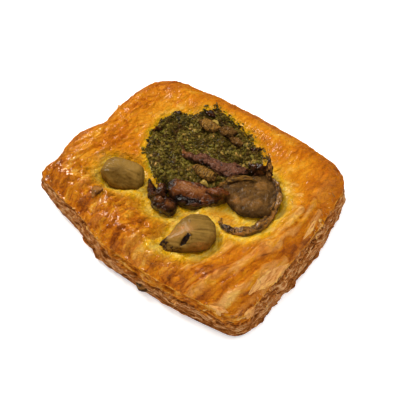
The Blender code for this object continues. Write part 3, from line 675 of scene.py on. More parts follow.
def folds(x, y, settings):
    """Folds and blisters of the glazed top: height in mm, how crested, how creased, cell tone."""
    across, along = turned(x, y, -GRAIN_LEAN)
    here = flat(x, y)
    near, right = near_and_right(x, y)
    left = smooth((-x - 26) / 14)
    blistered = 0.25 + 0.75 * near * (1 - 0.7 * right) + 0.35 * left
    height, crest = ridges(x, y)
    curl = 2.4 * near * (1 - right)
    bend = flat(across + 2.0 * grain(here, (9, 12, 9), 4) + curl * grain(here, (5, 5, 9), 10),
                along + 3.0 * grain(here, (12, 10, 9), 5) + curl * grain(here, (5, 5, 9), 11))
    puffed, level, slope = crumple(bend, (3.6, 8.0, 20), 1)
    pleated, tone, tilt = crumple(bend, (1.5, 3.8, 20), 2)
    streak = 1.0 - 2.4 * np.abs(grain(bend, (3.0, 14.0, 9), 6))
    amount = settings.wrinkle_height / MM
    height = height + amount * (
        blistered * (0.9 * puffed * (0.4 + level) + 1.3 * slope)
        + (0.25 + 0.4 * blistered) * (0.45 * pleated * (0.3 + tone) + 0.55 * tilt)
        + 0.45 * streak * (0.5 + 0.5 * right) + 0.15 * grain(here, (0.9, 1.5, 9), 8))
    creased = (1 - puffed) * blistered + 0.5 * (1 - pleated) * (0.3 + 0.5 * blistered)
    creased = creased - 0.5 * (blistered * slope + 0.5 * tilt)
    return height, crest, creased, (level - 0.5) * blistered + 0.5 * (tone - 0.5)


# ---- meshes ------------------------------------------------------------------------------------
def in_mm(mesh):
    """A bmesh of a mesh, in mm."""
    bm = bmesh.new()
    bm.from_mesh(mesh)
    bmesh.ops.scale(bm, vec=(1 / MM,) * 3, verts=bm.verts)
    return bm


def stored(bm, name):
    """A new mesh that takes over what a bmesh holds."""
    mesh = bpy.data.meshes.new(name)
    bm.to_mesh(mesh)
    bm.free()
    return mesh


def add_object(name, data):
    """A new object in the scene, made of a mesh, a light or a camera."""
    thing = bpy.data.objects.new(name, data)
    bpy.context.scene.collection.objects.link(thing)
    return thing


def unit_sphere(bm, around, along):
    """Adds a sphere of radius 1 to a bmesh; returns its vertices."""
    return bmesh.ops.create_uvsphere(bm, u_segments=around, v_segments=along, radius=1.0)["verts"]


def move_to(verts, places):
    """Puts vertices at places."""
    for vert, place in zip(verts, places):
        vert.co = place


def add_bit(bm, templates, place, rng):
    """Adds a copy of one of the template meshes to a bmesh; returns its number of vertices."""
    template = rng.choice(templates)
    template.transform(place)
    bm.from_mesh(template)
    template.transform(place.inverted())
    return len(template.vertices)


def finish_mesh(name, bm, layers, material, replaces=()):
    """Makes a finished piece from a bmesh in mm, with float attributes, riding on the frame."""
    bmesh.ops.recalc_face_normals(bm, faces=bm.faces)
    bmesh.ops.scale(bm, vec=(MM,) * 3, verts=bm.verts)
    mesh = stored(bm, name)
    for layer, values in layers.items():
        mesh.attributes.new(layer, "FLOAT", "POINT").data.foreach_set(
            "value", np.asarray(values, np.float32))
    mesh.shade_smooth()
    mesh.materials.append(material)
    piece = add_object(name, mesh)
    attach(piece, "root")
    if replaces:
        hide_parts(*replaces)


def surface_of(*names):
    """Trees of finished pieces' surfaces, in mm, for resting things on them."""
    trees = []
    for name in names:
        bm = in_mm(bpy.data.objects[name].data)
        trees.append(BVHTree.FromBMesh(bm))
        bm.free()
    return trees


def rest_on(trees, x, y):
    """Height of the highest surface under a plan point, or the table's, and which way it faces."""
    best = (0.0, Vector((0, 0, 1)))
    for tree in trees:
        hit, facing, _, _ = tree.ray_cast(Vector((x, y, HIGH_UP)), Vector((0, 0, -1)))
        if hit and hit.z > best[0]:
            best = (hit.z, facing)
    return best


# ---- materials ---------------------------------------------------------------------------------
def add_node(tree, kind, settings, out=0):
    """Adds a shader node, sets its fields, sockets, links and ramp stops; returns an output."""
    node = tree.nodes.new("ShaderNode" + kind)
    for key, value in settings.items():
        if key == "stops":
            ramp = node.color_ramp.elements
            for point, (place, rgb) in ((ramp[0], value[0]), (ramp[1], value[-1])):
                point.position, point.color = place, (*rgb, 1.0)
            for place, rgb in value[1:-1]:
                ramp.new(place).color = (*rgb, 1.0)
        elif isinstance(value, bpy.types.NodeSocket):
            tree.links.new(value, node.inputs[key])
        elif isinstance(key, str) and key in node.bl_rna.properties:
            setattr(node, key, value)
        else:
            node.inputs[key].default_value = value
    return node.outputs[out] if len(node.outputs) else None


def new_material(name):
    """An empty node material and its tree."""
    material = bpy.data.materials.new(name)
    material.use_nodes = True
    material.node_tree.nodes.clear()
    return material, material.node_tree


def crust_material(settings):
    """Egg-washed baked dough: glossy amber on top, dry matt brown leaves at the side."""
    material, tree = new_material("egg_washed_baked_dough")
    layer = {name: add_node(tree, "Attribute", {"attribute_name": name}, "Fac")
             for name in ("browning", "side", "dry", "blister", "moisture", "stain", "gloss")}
    place = add_node(tree, "TexCoord", {}, "Object")
    leaning = add_node(tree, "Mapping", {"Vector": place, "Rotation": (0.0, 0.0, GRAIN_LEAN)})
    drawn_out = add_node(tree, "Mapping", {"Vector": leaning, "Scale": (1.0, 0.5, 0.8)})
    # the film of glaze is crumpled into cells 2.4 mm wide whose edges wander by 1.5 mm
    wander = add_node(tree, "TexNoise", {
        "Vector": drawn_out, "Scale": 1 / (2.0 * MM), "Detail": 3.0}, "Color")
    moved = add_node(tree, "VectorMath", {
        "operation": "MULTIPLY_ADD", 0: wander, 1: (3.0 * MM,) * 3, 2: drawn_out})
    cell = add_node(tree, "TexVoronoi", {"Vector": moved, "Scale": 1 / (2.4 * MM)}, "Color")
    crease = add_node(tree, "TexVoronoi", {
        "feature": "DISTANCE_TO_EDGE", "Vector": moved, "Scale": 1 / (2.4 * MM)})
    crease = add_node(tree, "Math", {
        "operation": "MULTIPLY_ADD", "use_clamp": True, 0: crease, 1: -7.0, 2: 1.0})
    # crinkles about 1.6 mm apart, streaks of 0.8 mm, and flecks of 0.9 mm
    crinkles = add_node(tree, "TexNoise", {
        "noise_type": "RIDGED_MULTIFRACTAL", "Vector": drawn_out, "Scale": 1 / (1.6 * MM),
        "Detail": 3.0, "Roughness": 0.6, "Lacunarity": 2.2, "Offset": 0.9, "Gain": 1.6,
        "Distortion": 0.8})
    streaks = add_node(tree, "TexNoise", {
        "Vector": drawn_out, "Scale": 1 / (0.8 * MM), "Detail": 4.0, "Roughness": 0.65,
        "Distortion": 0.6})
    flecks = add_node(tree, "TexNoise", {
        "Vector": place, "Scale": 1 / (0.9 * MM), "Detail": 4.0, "Roughness": 0.65})
    # the crease lines between cells, where the bump dips, are painted darker as painted shade; the
    # crinkles' raised ridges are painted a little lighter as painted light
    mottled = 0.0
    for texture, amount, middle in (
            (crinkles, -0.10, 0.10), (streaks, 0.3, -0.15), (flecks, 0.25, -0.13),
            (crease, 0.14, -0.03), (cell, 0.36, -0.18)):
        shifted = add_node(tree, "Math", {"operation": "ADD", 0: mottled, 1: middle})
        mottled = add_node(tree, "Math", {
            "operation": "MULTIPLY_ADD", 0: texture, 1: amount, 2: shifted})
    streaked = add_node(tree, "Math", {"operation": "MULTIPLY_ADD", 0: streaks, 1: 0.3, 2: -0.15})
    streaked = add_node(tree, "Math", {"operation": "ADD", 0: streaked, 1: layer["browning"]})
    browning = add_node(tree, "Math", {
        "operation": "MULTIPLY_ADD", 0: mottled, 1: layer["blister"], 2: streaked})
    # dough leaves at the side, drawn as lines about 0.6 mm apart
    level = add_node(tree, "Mapping", {"Vector": place, "Scale": (0.16, 0.16, 1.0)})
    leaves = add_node(tree, "TexNoise", {
        "Vector": level, "Scale": 1 / (0.6 * MM), "Detail": 3.0, "Roughness": 0.6})
    lined = add_node(tree, "Math", {"operation": "MULTIPLY_ADD", 0: leaves, 1: 2.2, 2: -1.1})
    browning = add_node(tree, "Math", {
        "operation": "MULTIPLY_ADD", 0: lined, 1: layer["side"], 2: browning})
    glazed = add_node(tree, "ValToRGB", {"Fac": browning, "stops": (
        (0.0, settings.cream), (0.2, settings.straw), (0.4, settings.golden),
        (0.6, settings.amber), (0.8, settings.russet), (1.0, settings.umber))})
    dry = add_node(tree, "ValToRGB", {"Fac": browning, "stops": (
        (0.1, settings.dry_pale), (0.5, settings.dry_warm), (0.9, settings.dry_brown))})
    side = add_node(tree, "ValToRGB", {"Fac": browning, "stops": (
        (0.05, settings.side_pale), (0.4, settings.side_warm), (0.7, settings.side_brown),
        (1.0, settings.side_dark))})
    patchy = add_node(tree, "Math", {"operation": "MULTIPLY_ADD", 0: streaks, 1: 0.9, 2: -0.45})
    stain = add_node(tree, "Math", {"operation": "ADD", 0: layer["stain"], 1: patchy})
    moist = add_node(tree, "ValToRGB", {"Fac": stain, "stops": (
        (0.0, settings.moist_pale), (0.4, settings.moist_gold), (1.0, settings.moist_green))})
    raised = add_node(tree, "Math", {
        "operation": "MULTIPLY_ADD", "use_clamp": True, 0: cell, 1: 3.0, 2: -2.15})
    raised = add_node(tree, "Math", {"operation": "MULTIPLY", 0: raised, 1: layer["blister"]})
    parched = add_node(tree, "Math", {
        "operation": "MAXIMUM", "use_clamp": True, 0: raised, 1: layer["dry"]})
    tone = glazed
    for share, other in ((parched, dry), (layer["side"], side), (layer["moisture"], moist)):
        tone = add_node(tree, "Mix", {"data_type": "RGBA", "Factor": share, 6: tone, 7: other}, 2)
    relief = add_node(tree, "Math", {"operation": "MULTIPLY_ADD", 0: streaks, 1: 0.4, 2: crinkles})
    relief = add_node(tree, "Math", {"operation": "MULTIPLY_ADD", 0: crease, 1: -0.8, 2: relief})
    relief = add_node(tree, "Math", {"operation": "MULTIPLY_ADD", 0: cell, 1: 0.5, 2: relief})
    bump = add_node(tree, "Bump", {"Height": relief, "Strength": 0.8, "Distance": 0.5 * MM})
    # the glaze nearly fills the crinkles, so its own relief is much shallower
    film = add_node(tree, "Bump", {"Height": relief, "Strength": 0.8, "Distance": 0.05 * MM})
    rough = add_node(tree, "Math", {
        "operation": "MULTIPLY_ADD", 0: layer["gloss"], 1: -0.25, 2: 0.65})
    shader = add_node(tree, "BsdfPrincipled", {
        "Base Color": tone, "Normal": bump, "Roughness": rough, "Specular IOR Level": 0.05,
        "Coat Weight": layer["gloss"], "Coat Roughness": 0.13, "Coat IOR": 1.65,
        "Coat Normal": film,
        "Subsurface Weight": 0.06, "Subsurface Radius": (1.0, 0.45, 0.12),
        "Subsurface Scale": 1.5 * MM})
    add_node(tree, "OutputMaterial", {"Surface": shader})
    return material


def flake_material(settings):
    """Dry loose crust flakes: thin and pale, with a satin skin and browned edges."""
    material, tree = new_material("dry_crust_flake")
    browning = add_node(tree, "Attribute", {"attribute_name": "browning"}, "Fac")
    place = add_node(tree, "TexCoord", {}, "Object")
    # fine lines about 0.8 mm apart that run along the dough's grain
    drawn_out = add_node(tree, "Mapping", {
        "Vector": place, "Rotation": (0.0, 0.0, GRAIN_LEAN), "Scale": (1.0, 0.25, 1.0)})
    streaks = add_node(tree, "TexNoise", {
        "Vector": drawn_out, "Scale": 1 / (0.8 * MM), "Detail": 3.0, "Distortion": 0.6})
    centred = add_node(tree, "Math", {"operation": "ADD", 0: browning, 1: -0.6})
    shade = add_node(tree, "Math", {"operation": "MULTIPLY_ADD", 0: streaks, 1: 1.3, 2: centred})
    tone = add_node(tree, "ValToRGB", {"Fac": shade, "stops": (
        (0.0, settings.cream), (0.3, settings.dry_pale), (0.65, settings.dry_warm),
        (1.0, settings.dry_brown))})
    shader = add_node(tree, "BsdfPrincipled", {
        "Base Color": tone, "Roughness": 0.5, "Specular IOR Level": 0.15, "Coat Weight": 0.15,
        "Coat Roughness": 0.15, "Subsurface Weight": 0.15,
        "Subsurface Radius": (1.0, 0.6, 0.25), "Subsurface Scale": 1.0 * MM})
    add_node(tree, "OutputMaterial", {"Surface": shader})
    return material


def herb_material(settings):
    """Oily chopped cooked leaves: dark olive with lime and pale specks."""
    material, tree = new_material("oily_chopped_herbs")
    tint = add_node(tree, "Attribute", {"attribute_name": "tint"}, "Fac")
    place = add_node(tree, "TexCoord", {}, "Object")
    # leaf shreds about 0.8 mm across
    shreds = add_node(tree, "TexNoise", {"Vector": place, "Scale": 1 / (0.8 * MM), "Detail": 4.0})
    centred = add_node(tree, "Math", {"operation": "ADD", 0: tint, 1: -0.3})
    shade = add_node(tree, "Math", {"operation": "MULTIPLY_ADD", 0: shreds, 1: 0.6, 2: centred})
    tone = add_node(tree, "ValToRGB", {"Fac": shade, "stops": (
        (0.0, settings.shadow), (0.3, settings.olive), (0.62, settings.moss),
        (0.85, settings.lime), (1.0, settings.crumb))})
    # brown oily patches about 3 mm across
    patches = add_node(tree, "TexNoise", {"Vector": place, "Scale": 1 / (3.0 * MM), "Detail": 3.0})
    patches = add_node(tree, "Math", {
        "operation": "MULTIPLY_ADD", "use_clamp": True, 0: patches, 1: 4.0, 2: -1.95})
    tone = add_node(tree, "Mix", {
        "data_type": "RGBA", "Factor": patches, 6: tone, 7: (*settings.brown, 1.0)}, 2)
    bump = add_node(tree, "Bump", {"Height": shreds, "Strength": 0.8, "Distance": 0.3 * MM})
    shader = add_node(tree, "BsdfPrincipled", {
        "Base Color": tone, "Normal": bump, "Roughness": 0.55, "Specular IOR Level": 0.12,
        "Coat Weight": 0.25, "Coat Roughness": 0.12})
    add_node(tree, "OutputMaterial", {"Surface": shader})
    return material


# of a cooked mushroom surface: colours, roughness, wet film; width of flecks in mm, their share of
# the shade, and depth of wrinkles in mm; fibre lengths along and across in mm, whether they are
# creases; push in mm and share of shade of fibres and of lumps (that shade is partly painted
# light and shade of the relief); shade all over, and painted light on what faces up; warm colour
# all over; material slot
Finish = namedtuple("Finish", "light dark rough coat fleck mottle wrinkle long fine creased "
                              "fibre_push fibre_shade lump_push lump_shade base up warm slot")
FINISHES = {
    "stalk": Finish("stalk_light", "stalk_dark", 0.5, 0.12, 1.2, 0.3, 0.12, 9.0, 0.8, False,
                    0.1, 0.45, 0.12, 0.2, 0.52, 0.35, 0.0, "stalk"),
    "cap": Finish("cap_light", "cap_dark", 0.45, 0.2, 1.3, 0.9, 0.5, 5.0, 1.2, False,
                  0.25, 0.28, 0.4, 0.25, 0.42, 0.2, 0.0, "cap"),
    "glazed": Finish("glazed_light", "glazed_dark", 0.32, 1.0, 0.7, 2.6, 0.7, 4.0, 1.1, True,
                     0.45, 0.4, 0.7, 0.6, 0.42, 0.35, 0.1, "glazed"),
    "gills": Finish("gills_light", "gills_dark", 0.5, 0.12, 0.9, 0.6, 0.4, 6.0, 0.42, False,
                    0.25, 1.7, 0.3, 0.3, 0.45, 0.25, 0.1, "gills"),
    "mauve": Finish("mauve_light", "mauve_dark", 0.45, 0.5, 1.1, 2.4, 0.8, 3.0, 1.0, True,
                    1.1, 1.3, 1.0, 1.2, 0.22, 0.25, 0.1, "mauve"),
    "dark": Finish("burnt_light", "burnt_dark", 0.4, 0.8, 1.4, 1.4, 0.6, 3.0, 1.2, True,
                   0.5, 0.35, 0.7, 0.7, 0.04, 0.3, 0.05, "dark"),
    "pale": Finish("pale", "gills_light", 0.5, 0.2, 1.2, 0.6, 0.3, 4.0, 1.4, False,
                   0.1, 0.2, 0.3, 0.3, 0.8, 0.0, 0.0, "gills"),
    "chip": Finish("tail_light", "burnt_dark", 0.5, 0.25, 0.8, 2.0, 0.4, 2.0, 0.6, False,
                   0.2, 0.7, 0.1, 0.5, 0.0, 0.3, 0.35, "dark"),
    "dull": Finish("cap_light", "mauve_dark", 0.45, 0.2, 1.0, 1.8, 0.6, 3.0, 0.8, True,
                   0.6, 0.5, 0.7, 0.6, 0.62, 0.3, 0.0, "mauve"),
    "tail": Finish("tail_light", "cap_dark", 0.4, 0.9, 0.9, 3.4, 0.7, 6.0, 0.7, False,
                   0.5, 1.5, 0.8, 0.9, 0.2, 0.3, 0.15, "cap"),
    "spike": Finish("tail_light", "burnt_dark", 0.5, 0.4, 1.2, 1.6, 0.3, 5.0, 0.7, False,
                    0.2, 0.9, 0.3, 0.7, 0.0, 0.25, 0.1, "dark"),
}


def mushroom_material(name, settings):
    """Cooked mushroom flesh, satin with a wet film, darker in creases, char and painted shade."""
    look = FINISHES[name]
    light, dark = getattr(settings, look.light), getattr(settings, look.dark)
    material, tree = new_material("cooked_mushroom_" + name)
    layer = {key: add_node(tree, "Attribute", {"attribute_name": key}, "Fac")
             for key in ("shade", "burn", "warm")}
    place = add_node(tree, "TexCoord", {}, "Object")
    flecks = add_node(tree, "TexNoise", {
        "Vector": place, "Scale": 1 / (look.fleck * MM), "Detail": 5.0, "Roughness": 0.65})
    wrinkles = add_node(tree, "TexNoise", {
        "noise_type": "RIDGED_MULTIFRACTAL", "Vector": place, "Scale": 1 / (1.7 * look.fleck * MM),
        "Detail": 4.0, "Roughness": 0.6, "Lacunarity": 2.2, "Offset": 0.9, "Gain": 1.5,
        "Distortion": 0.7})
    centred = add_node(tree, "Math", {
        "operation": "ADD", 0: layer["shade"], 1: -0.6 * look.mottle})
    shade = add_node(tree, "Math", {
        "operation": "MULTIPLY_ADD", 0: flecks, 1: look.mottle, 2: centred})
    shade = add_node(tree, "Math", {
        "operation": "MULTIPLY_ADD", 0: wrinkles, 1: 0.1 * look.mottle, 2: shade})
    middle = tuple(a * 0.42 + b * 0.58 for a, b in zip(light, dark))
    tone = add_node(tree, "ValToRGB", {
        "Fac": shade, "stops": ((0.0, dark), (0.5, middle), (1.0, light))})
    # the char colour, also the painted shade of hollows and lower edges, starts as dapples and
    # closes up where it is strong
    dapples = add_node(tree, "Math", {"operation": "MULTIPLY_ADD", 0: flecks, 1: 12.0, 2: -8.4})
    char_and_shade_share = add_node(tree, "Math", {
        "operation": "MULTIPLY_ADD", "use_clamp": True, 0: layer["burn"], 1: 6.0, 2: dapples})
    for share, stops in ((layer["warm"], ((0.3, light), (0.65, settings.warm))),
                         (char_and_shade_share, ((0.5, settings.char), (0.9, dark)))):
        other = add_node(tree, "ValToRGB", {"Fac": flecks, "stops": stops})
        tone = add_node(tree, "Mix", {"data_type": "RGBA", "Factor": share, 6: tone, 7: other}, 2)
    relief = add_node(tree, "Math", {"operation": "MULTIPLY_ADD", 0: flecks, 1: 1.2, 2: wrinkles})
    bump = add_node(tree, "Bump", {
        "Height": relief, "Strength": 0.9, "Distance": look.wrinkle * MM})
    film = add_node(tree, "Bump", {
        "Height": relief, "Strength": 0.9, "Distance": 0.22 * look.wrinkle * MM})
    shader = add_node(tree, "BsdfPrincipled", {
        "Base Color": tone, "Normal": bump, "Roughness": look.rough, "Specular IOR Level": 0.1,
        "Coat Weight": look.coat, "Coat Roughness": 0.07, "Coat IOR": 1.65, "Coat Normal": film})
    add_node(tree, "OutputMaterial", {"Surface": shader})
    return material


# ---- crust -------------------------------------------------------------------------------------
def pillow_topology():
    """A grid for the top and extruded rings for the side, and each vertex's u, v and row."""
    bm = bmesh.new()
    bmesh.ops.create_grid(bm, x_segments=TOP_CELLS[0], y_segments=TOP_CELLS[1], size=1.0)
    station = bm.verts.layers.float_vector.new("station")
    for vert in bm.verts:
        vert[station] = (vert.co.x, vert.co.y, 0.0)
    rim = [edge for edge in bm.edges if edge.is_boundary]
    for row in range(1, WALL_ROWS + 2):
        made = bmesh.ops.extrude_edge_only(bm, edges=rim)["geom"]
        for vert in (g for g in made if isinstance(g, bmesh.types.BMVert)):
            u, v, _ = vert[station]
            vert[station] = (u, v, row)
        rim = [g for g in made if isinstance(g, bmesh.types.BMEdge) and g.is_boundary]
    bmesh.ops.contextual_create(bm, geom=rim)
    return bm, np.array([vert[station] for vert in bm.verts], float)


def leaf_relief(x, y, z, settings):
    """Leaves of dough at the side: push in mm, place 0..1 within a thin and a thick one, tone."""
    here = flat(x, y, z)
    spacing = settings.leaf_spacing / MM
    warp = 1.8 * grain(flat(x, y), (17, 17, 9), 20) + 0.8 * grain(flat(x, y), (5, 5, 9), 21)
    warp = warp + 1.6 * grain(here, (9, 9, 3.4), 27)
    level = (z + warp) / spacing
    number = np.floor(level)
    part = level - number
    leaf = flat(x, y, number * 37.0)
    reach = settings.leaf_reach / MM
    push = reach * (0.5 * grain(leaf, (8, 8, 9), 22) + 0.4 * grain(leaf, (2.4, 2.4, 9), 23))
    ledge = np.where(part < 0.8, part / 0.8, (1 - part) / 0.2)
    # every few leaves hold together as a thick one that stands out or falls back
    bundle = (z + 1.3 * warp) / (3.2 * spacing) + 0.6 * grain(here, (12, 12, 6), 44)
    held = flat(x, y, np.floor(bundle) * 37.0)
    push = push + reach * (1.1 * grain(held, (9, 9, 9), 45) + 0.8 * (bundle % 1.0 - 0.5))
    ragged = 0.2 * grain(here, (1.4, 1.4, 0.9), 24) + 0.6 * grain(here, (3.4, 3.4, 2.2), 43)
    tone = 0.5 * grain(held, (11, 11, 9), 28) + 0.5 * grain(leaf, (4, 4, 9), 29)
    return push + 0.4 * (ledge - 0.5) + ragged, part, bundle % 1.0, tone


def glaze_reach(x, y):
    """How far down the side, in mm, the golden glaze runs."""
    along_near = smooth((x + 30) / 40) * smooth((-y - 30) / 10)
    on_right = smooth((x - 50) / 8)
    return 0.6 + 6.5 * along_near * (1 - 0.5 * on_right) + 1.6 * on_right


def top_colours(x, y, z, inset, crest, creased, tone):
    """Browning and dryness of the top, before the toppings' moisture; the browning holds painted
    shade in the fold creases and painted light on the crests.
    """
    here = flat(x, y, z)
    across, along = turned(x, y, -GRAIN_LEAN)
    streaky = flat(across + 2 * grain(here, 8, 34), along, z)
    blotch = grain(streaky, (7, 15, 12), 30, 2)
    streaks = grain(streaky, (1.7, 9, 6), 31, 2)
    small = grain(here, (2.2, 3.2, 3.0), 35, 2)
    near, right = near_and_right(x, y)
    browning = 0.38 + 0.14 * blotch + 0.12 * streaks + 0.05 * small + 0.12 * tone
    # darker in the fold creases, as painted shade, and lighter on the crests, partly drier dough
    # and partly painted light
    browning = browning + 0.16 * creased - 0.24 * crest * (0.5 + 0.5 * right) + 0.08 * right
    browning = browning + 0.24 * bell(crest - 0.3, 0.16) * right
    browning = browning + 0.08 * smooth((6.0 - inset) / 6.0)
    browning = browning + 0.07 * smooth((y - 26) / 12)
    dry = np.clip(crest * right * (0.8 + 1.6 * streaks) - 0.15, 0, 0.8)
    dry = np.maximum(dry, np.clip(2.2 * (tone - 0.22), 0, 0.5) * near)
    wander = 2.2 * flat(grain(here, 4, 38, 2), grain(here, 4, 39, 2))
    for patch in PATCHES:
        away = np.hypot((x - patch.x + wander[:, 0]) / patch.across,
                        (y - patch.y + wander[:, 1]) / patch.along)
        share = np.exp(-away ** 3)
        browning = browning + patch.browner * share
        dry = np.maximum(dry, patch.drier * share * np.clip(0.8 + 1.2 * streaks, 0, 1.2))
    return browning, dry, small, streaks


def crust_vertices(station, settings):
    """Positions and colour layers of the pillow's vertices."""
    u, v, row = station.T
    top = row < 0.5
    rim_inset = side_mix(u, v, RIM_INSET)
    rim_height = side_mix(u, v, RIM_HEIGHT)
    reach = np.maximum(np.abs(u), np.abs(v))
    x, y = plan(u, v, rim_inset * smooth((reach - 0.6) / 0.4))
    outer = plan(u, v)
    inset = np.zeros_like(x)
    inset[top] = edge_inset(outer[0][top], outer[1][top])
    z = top_height(x, y, inset, rim_height)
    fold, crest, creased, cell_tone = folds(x, y, settings)
    heap, pieces = beside_toppings(x, y)
    nearest = np.maximum(0.0, np.minimum(heap, pieces))
    calm = 1.0 - 0.45 * np.exp(-nearest / 2.5)
    z = z + (fold - 0.5) * calm * np.where(top, smooth(inset / 3.0) * 0.6 + 0.4, 0.4)
    rim_z = z.copy()

    # the side: down from the rim, with leaves, then in under the flat base
    down = np.clip(row / WALL_ROWS, 0.0, 1.0)
    foot = FOOT_HEIGHT + lifted(x, y)
    wall_inset = rim_inset * (1 - smooth(down / 0.8)) + FOOT_INSET * smooth((down - 0.8) / 0.2)
    wall_z = rim_z + (foot - rim_z) * down
    wall_x, wall_y = plan(u, v, wall_inset)
    push, part, bundle, leaf_tone = leaf_relief(wall_x, wall_y, wall_z, settings)
    wall = flat(wall_x, wall_y, wall_z)
    pits = np.maximum(0.0, grain(wall, (3.4, 3.4, 1.6), 33) - 0.25)
    push = push + 0.8 * grain(wall, (6.0, 6.0, 7.0), 25) - 1.2 * pits
    fade = smooth(down / 0.08) * smooth((1.0 - down) / 0.05)
    lip_ragged = np.clip(0.6 + grain(flat(wall_x, wall_y), (3, 3, 9), 26), 0, 1.3)
    lip = 0.6 * bell(down - 0.02, 0.025) * lip_ragged
    wall_x, wall_y = plan(u, v, wall_inset - (push * fade + lip))
    base = row > WALL_ROWS + 0.5
    base_x, base_y = plan(u, v, BASE_INSET + 2.5 * lifted(x, y))
    x = np.where(top, x, np.where(base, base_x, wall_x))
    y = np.where(top, y, np.where(base, base_y, wall_y))
    z = np.where(top, z, np.where(base, 0.0, wall_z))

    # colour layers
    browning, dry, small, streaks = top_colours(x, y, z, inset, crest, creased * calm, cell_tone)
    below = rim_z - z
    glaze = glaze_reach(x, y) + 3.4 * grain(flat(x, y, z), (3.0, 3.0, 2.4), 36) + 1.5 * leaf_tone
    glazed = smooth((glaze - below) / 1.4)
    frayed = np.clip(0.75 + 1.3 * grain(flat(x, y, z), (4, 4, 2), 40), 0, 1.3)
    leaf_edge = np.maximum(0.6 * bell(part - 0.7, 0.2), bell(bundle - 0.88, 0.07)) * frayed
    # painted shade: the gaps between leaves and the pits, where the side sinks in, are coloured
    # darker; the side also grows darker towards its foot
    gap_shade = np.maximum(0.6 * bell(part, 0.2), bell(bundle - 0.02, 0.06))
    side_brown = 0.5 + 0.36 * leaf_tone + 0.16 * small - 0.5 * leaf_edge + 0.35 * gap_shade
    side_brown = side_brown + 0.5 * pits + 0.12 * smooth((down - 0.8) / 0.2)
    glaze_brown = 0.48 + 0.35 * leaf_tone + 0.25 * small - 0.45 * leaf_edge + 0.25 * gap_shade
    side = np.where(top, 0.0, smooth(down / 0.03) * (1 - 0.9 * glazed))
    wall_brown = side_brown * side + glaze_brown * (1 - side)
    golden_lip = bell(down - 0.012, 0.022) * lip_ragged
    browning = np.where(top, browning, wall_brown) - 0.45 * np.where(top, 0.0, golden_lip)
    browning = browning + 0.3 * np.where(top, 0.0, bell(down - 0.075, 0.02) * side)
    dry = np.where(top, dry, 0.3 * glazed * np.clip(leaf_edge, 0, 1))
    damp = np.exp(-(np.maximum(0.0, np.minimum(1.6 * heap, pieces)) / 4.8) ** 1.8)
    moisture = np.where(top, np.clip(damp * (1.3 + 0.9 * small + 0.4 * streaks), 0, 1), 0.0)
    browning = browning - np.where(top, 0.1 * np.exp(-nearest / 4.0), 0.0)
    stain = np.exp(-np.maximum(0.0, heap) / 1.6) + 0.45 * (1 - damp) + 0.5 * small + 0.04
    stain = stain + 0.3 * np.exp(-np.maximum(0.0, pieces) / 1.2)
    # a toasted tongue of dry dough between the cap and the front stalk piece
    moisture = moisture * (1 - 0.6 * bell(np.hypot((x - 24.5) / 7.0, (y + 8.5) / 3.6) ** 2))
    near_left = smooth((-y - 18) / 12) * (1 - 0.75 * smooth((x - 12) / 14))
    left = smooth((-x - 30) / 12)
    glossy = 0.22 + 0.75 * near_left + 0.12 * left
    gloss = np.where(top, np.clip(glossy * (1 - dry), 0.06, 1.0), 0.08 * glazed)
    blister = 0.22 + 0.65 * smooth((-y - 16) / 12) * (1 - 0.6 * smooth((x - 24) / 14))
    blister = blister + 0.25 * left
    blister = np.where(top, np.clip(blister + 0.1 * smooth((x - 44) / 8), 0, 0.95), 0.5)
    return flat(x, y, z), {"browning": browning, "side": side, "dry": dry, "blister": blister,
                           "moisture": moisture, "stain": np.clip(stain, 0, 1), "gloss": gloss}


def crust_flakes(bm, trees, share, rng):
    """Adds loose crust flakes and draped torn sheets to a bmesh; returns their browning."""
    browning = []
    for sheet in SHEETS:
        made = unit_sphere(bm, *SHEET_CELLS)
        skin = strip_skin(made, sheet, trees, SHEET_CELLS[1])
        ragged = 1.0 + 0.5 * grain(skin.place, 1.6, 70, 2)
        for vert, place, up, loose in zip(made, skin.place, skin.up, ragged):
            axis = along_path(sheet.path, np.clip(vert.co.z * 0.5 + 0.5, 0, 1))
            x, y = axis + (place[:2] - axis) * loose
            vert.co = (x, y, rest_on(trees, x, y)[0] + 0.35 + 0.16 * up + 0.25 * (loose - 1.0))
        browning += list(0.28 + 0.5 * grain(skin.place, 2.2, 71, 2))
    templates = []
    for _ in range(FLAKE_SHAPES):
        template = bmesh.new()
        rim = bmesh.ops.create_circle(template, cap_ends=True, segments=9, radius=0.5)["verts"]
        for vert in rim:
            vert.co *= rng.uniform(0.6, 1.2)
            vert.co.z = 0.25 * vert.co.x ** 2
        made = bmesh.ops.extrude_face_region(template, geom=template.faces)["geom"]
        bmesh.ops.translate(template, vec=(0, 0, 0.06),
                            verts=[g for g in made if isinstance(g, bmesh.types.BMVert)])
        templates.append(stored(template, "flake_template"))
    for path, count, spread in FLAKE_ZONES:
        for _ in range(int(count * share)):
            t = rng.random()
            spot = along_path(path, t)
            ahead = heading(path, t)
            x, y = spot[0] + rng.gauss(0, spread * 0.6), spot[1] + rng.gauss(0, spread * 0.6)
            height, facing = rest_on(trees, x, y)
            if height < FLAKE_LOWEST:
                continue
            size = rng.uniform(0.8, 1.6) + 2.0 * rng.random() ** 4
            turn = Matrix.Rotation(math.atan2(ahead[1], ahead[0]) + rng.gauss(0, 0.35), 4, "Z")
            tip = facing.to_track_quat("Z", "Y").to_matrix().to_4x4()
            lean = Matrix.Rotation(rng.gauss(0, 0.25), 4, "X")
            squash = Matrix.Diagonal((size, size * rng.uniform(0.25, 0.5), 1.4, 1.0))
            place = Matrix.Translation((x, y, height + 0.1)) @ tip @ turn @ lean @ squash
            verts = add_bit(bm, templates, place, rng)
            browning += [rng.uniform(0.15, 0.95)] * verts
    for template in templates:
        bpy.data.meshes.remove(template)
    return browning


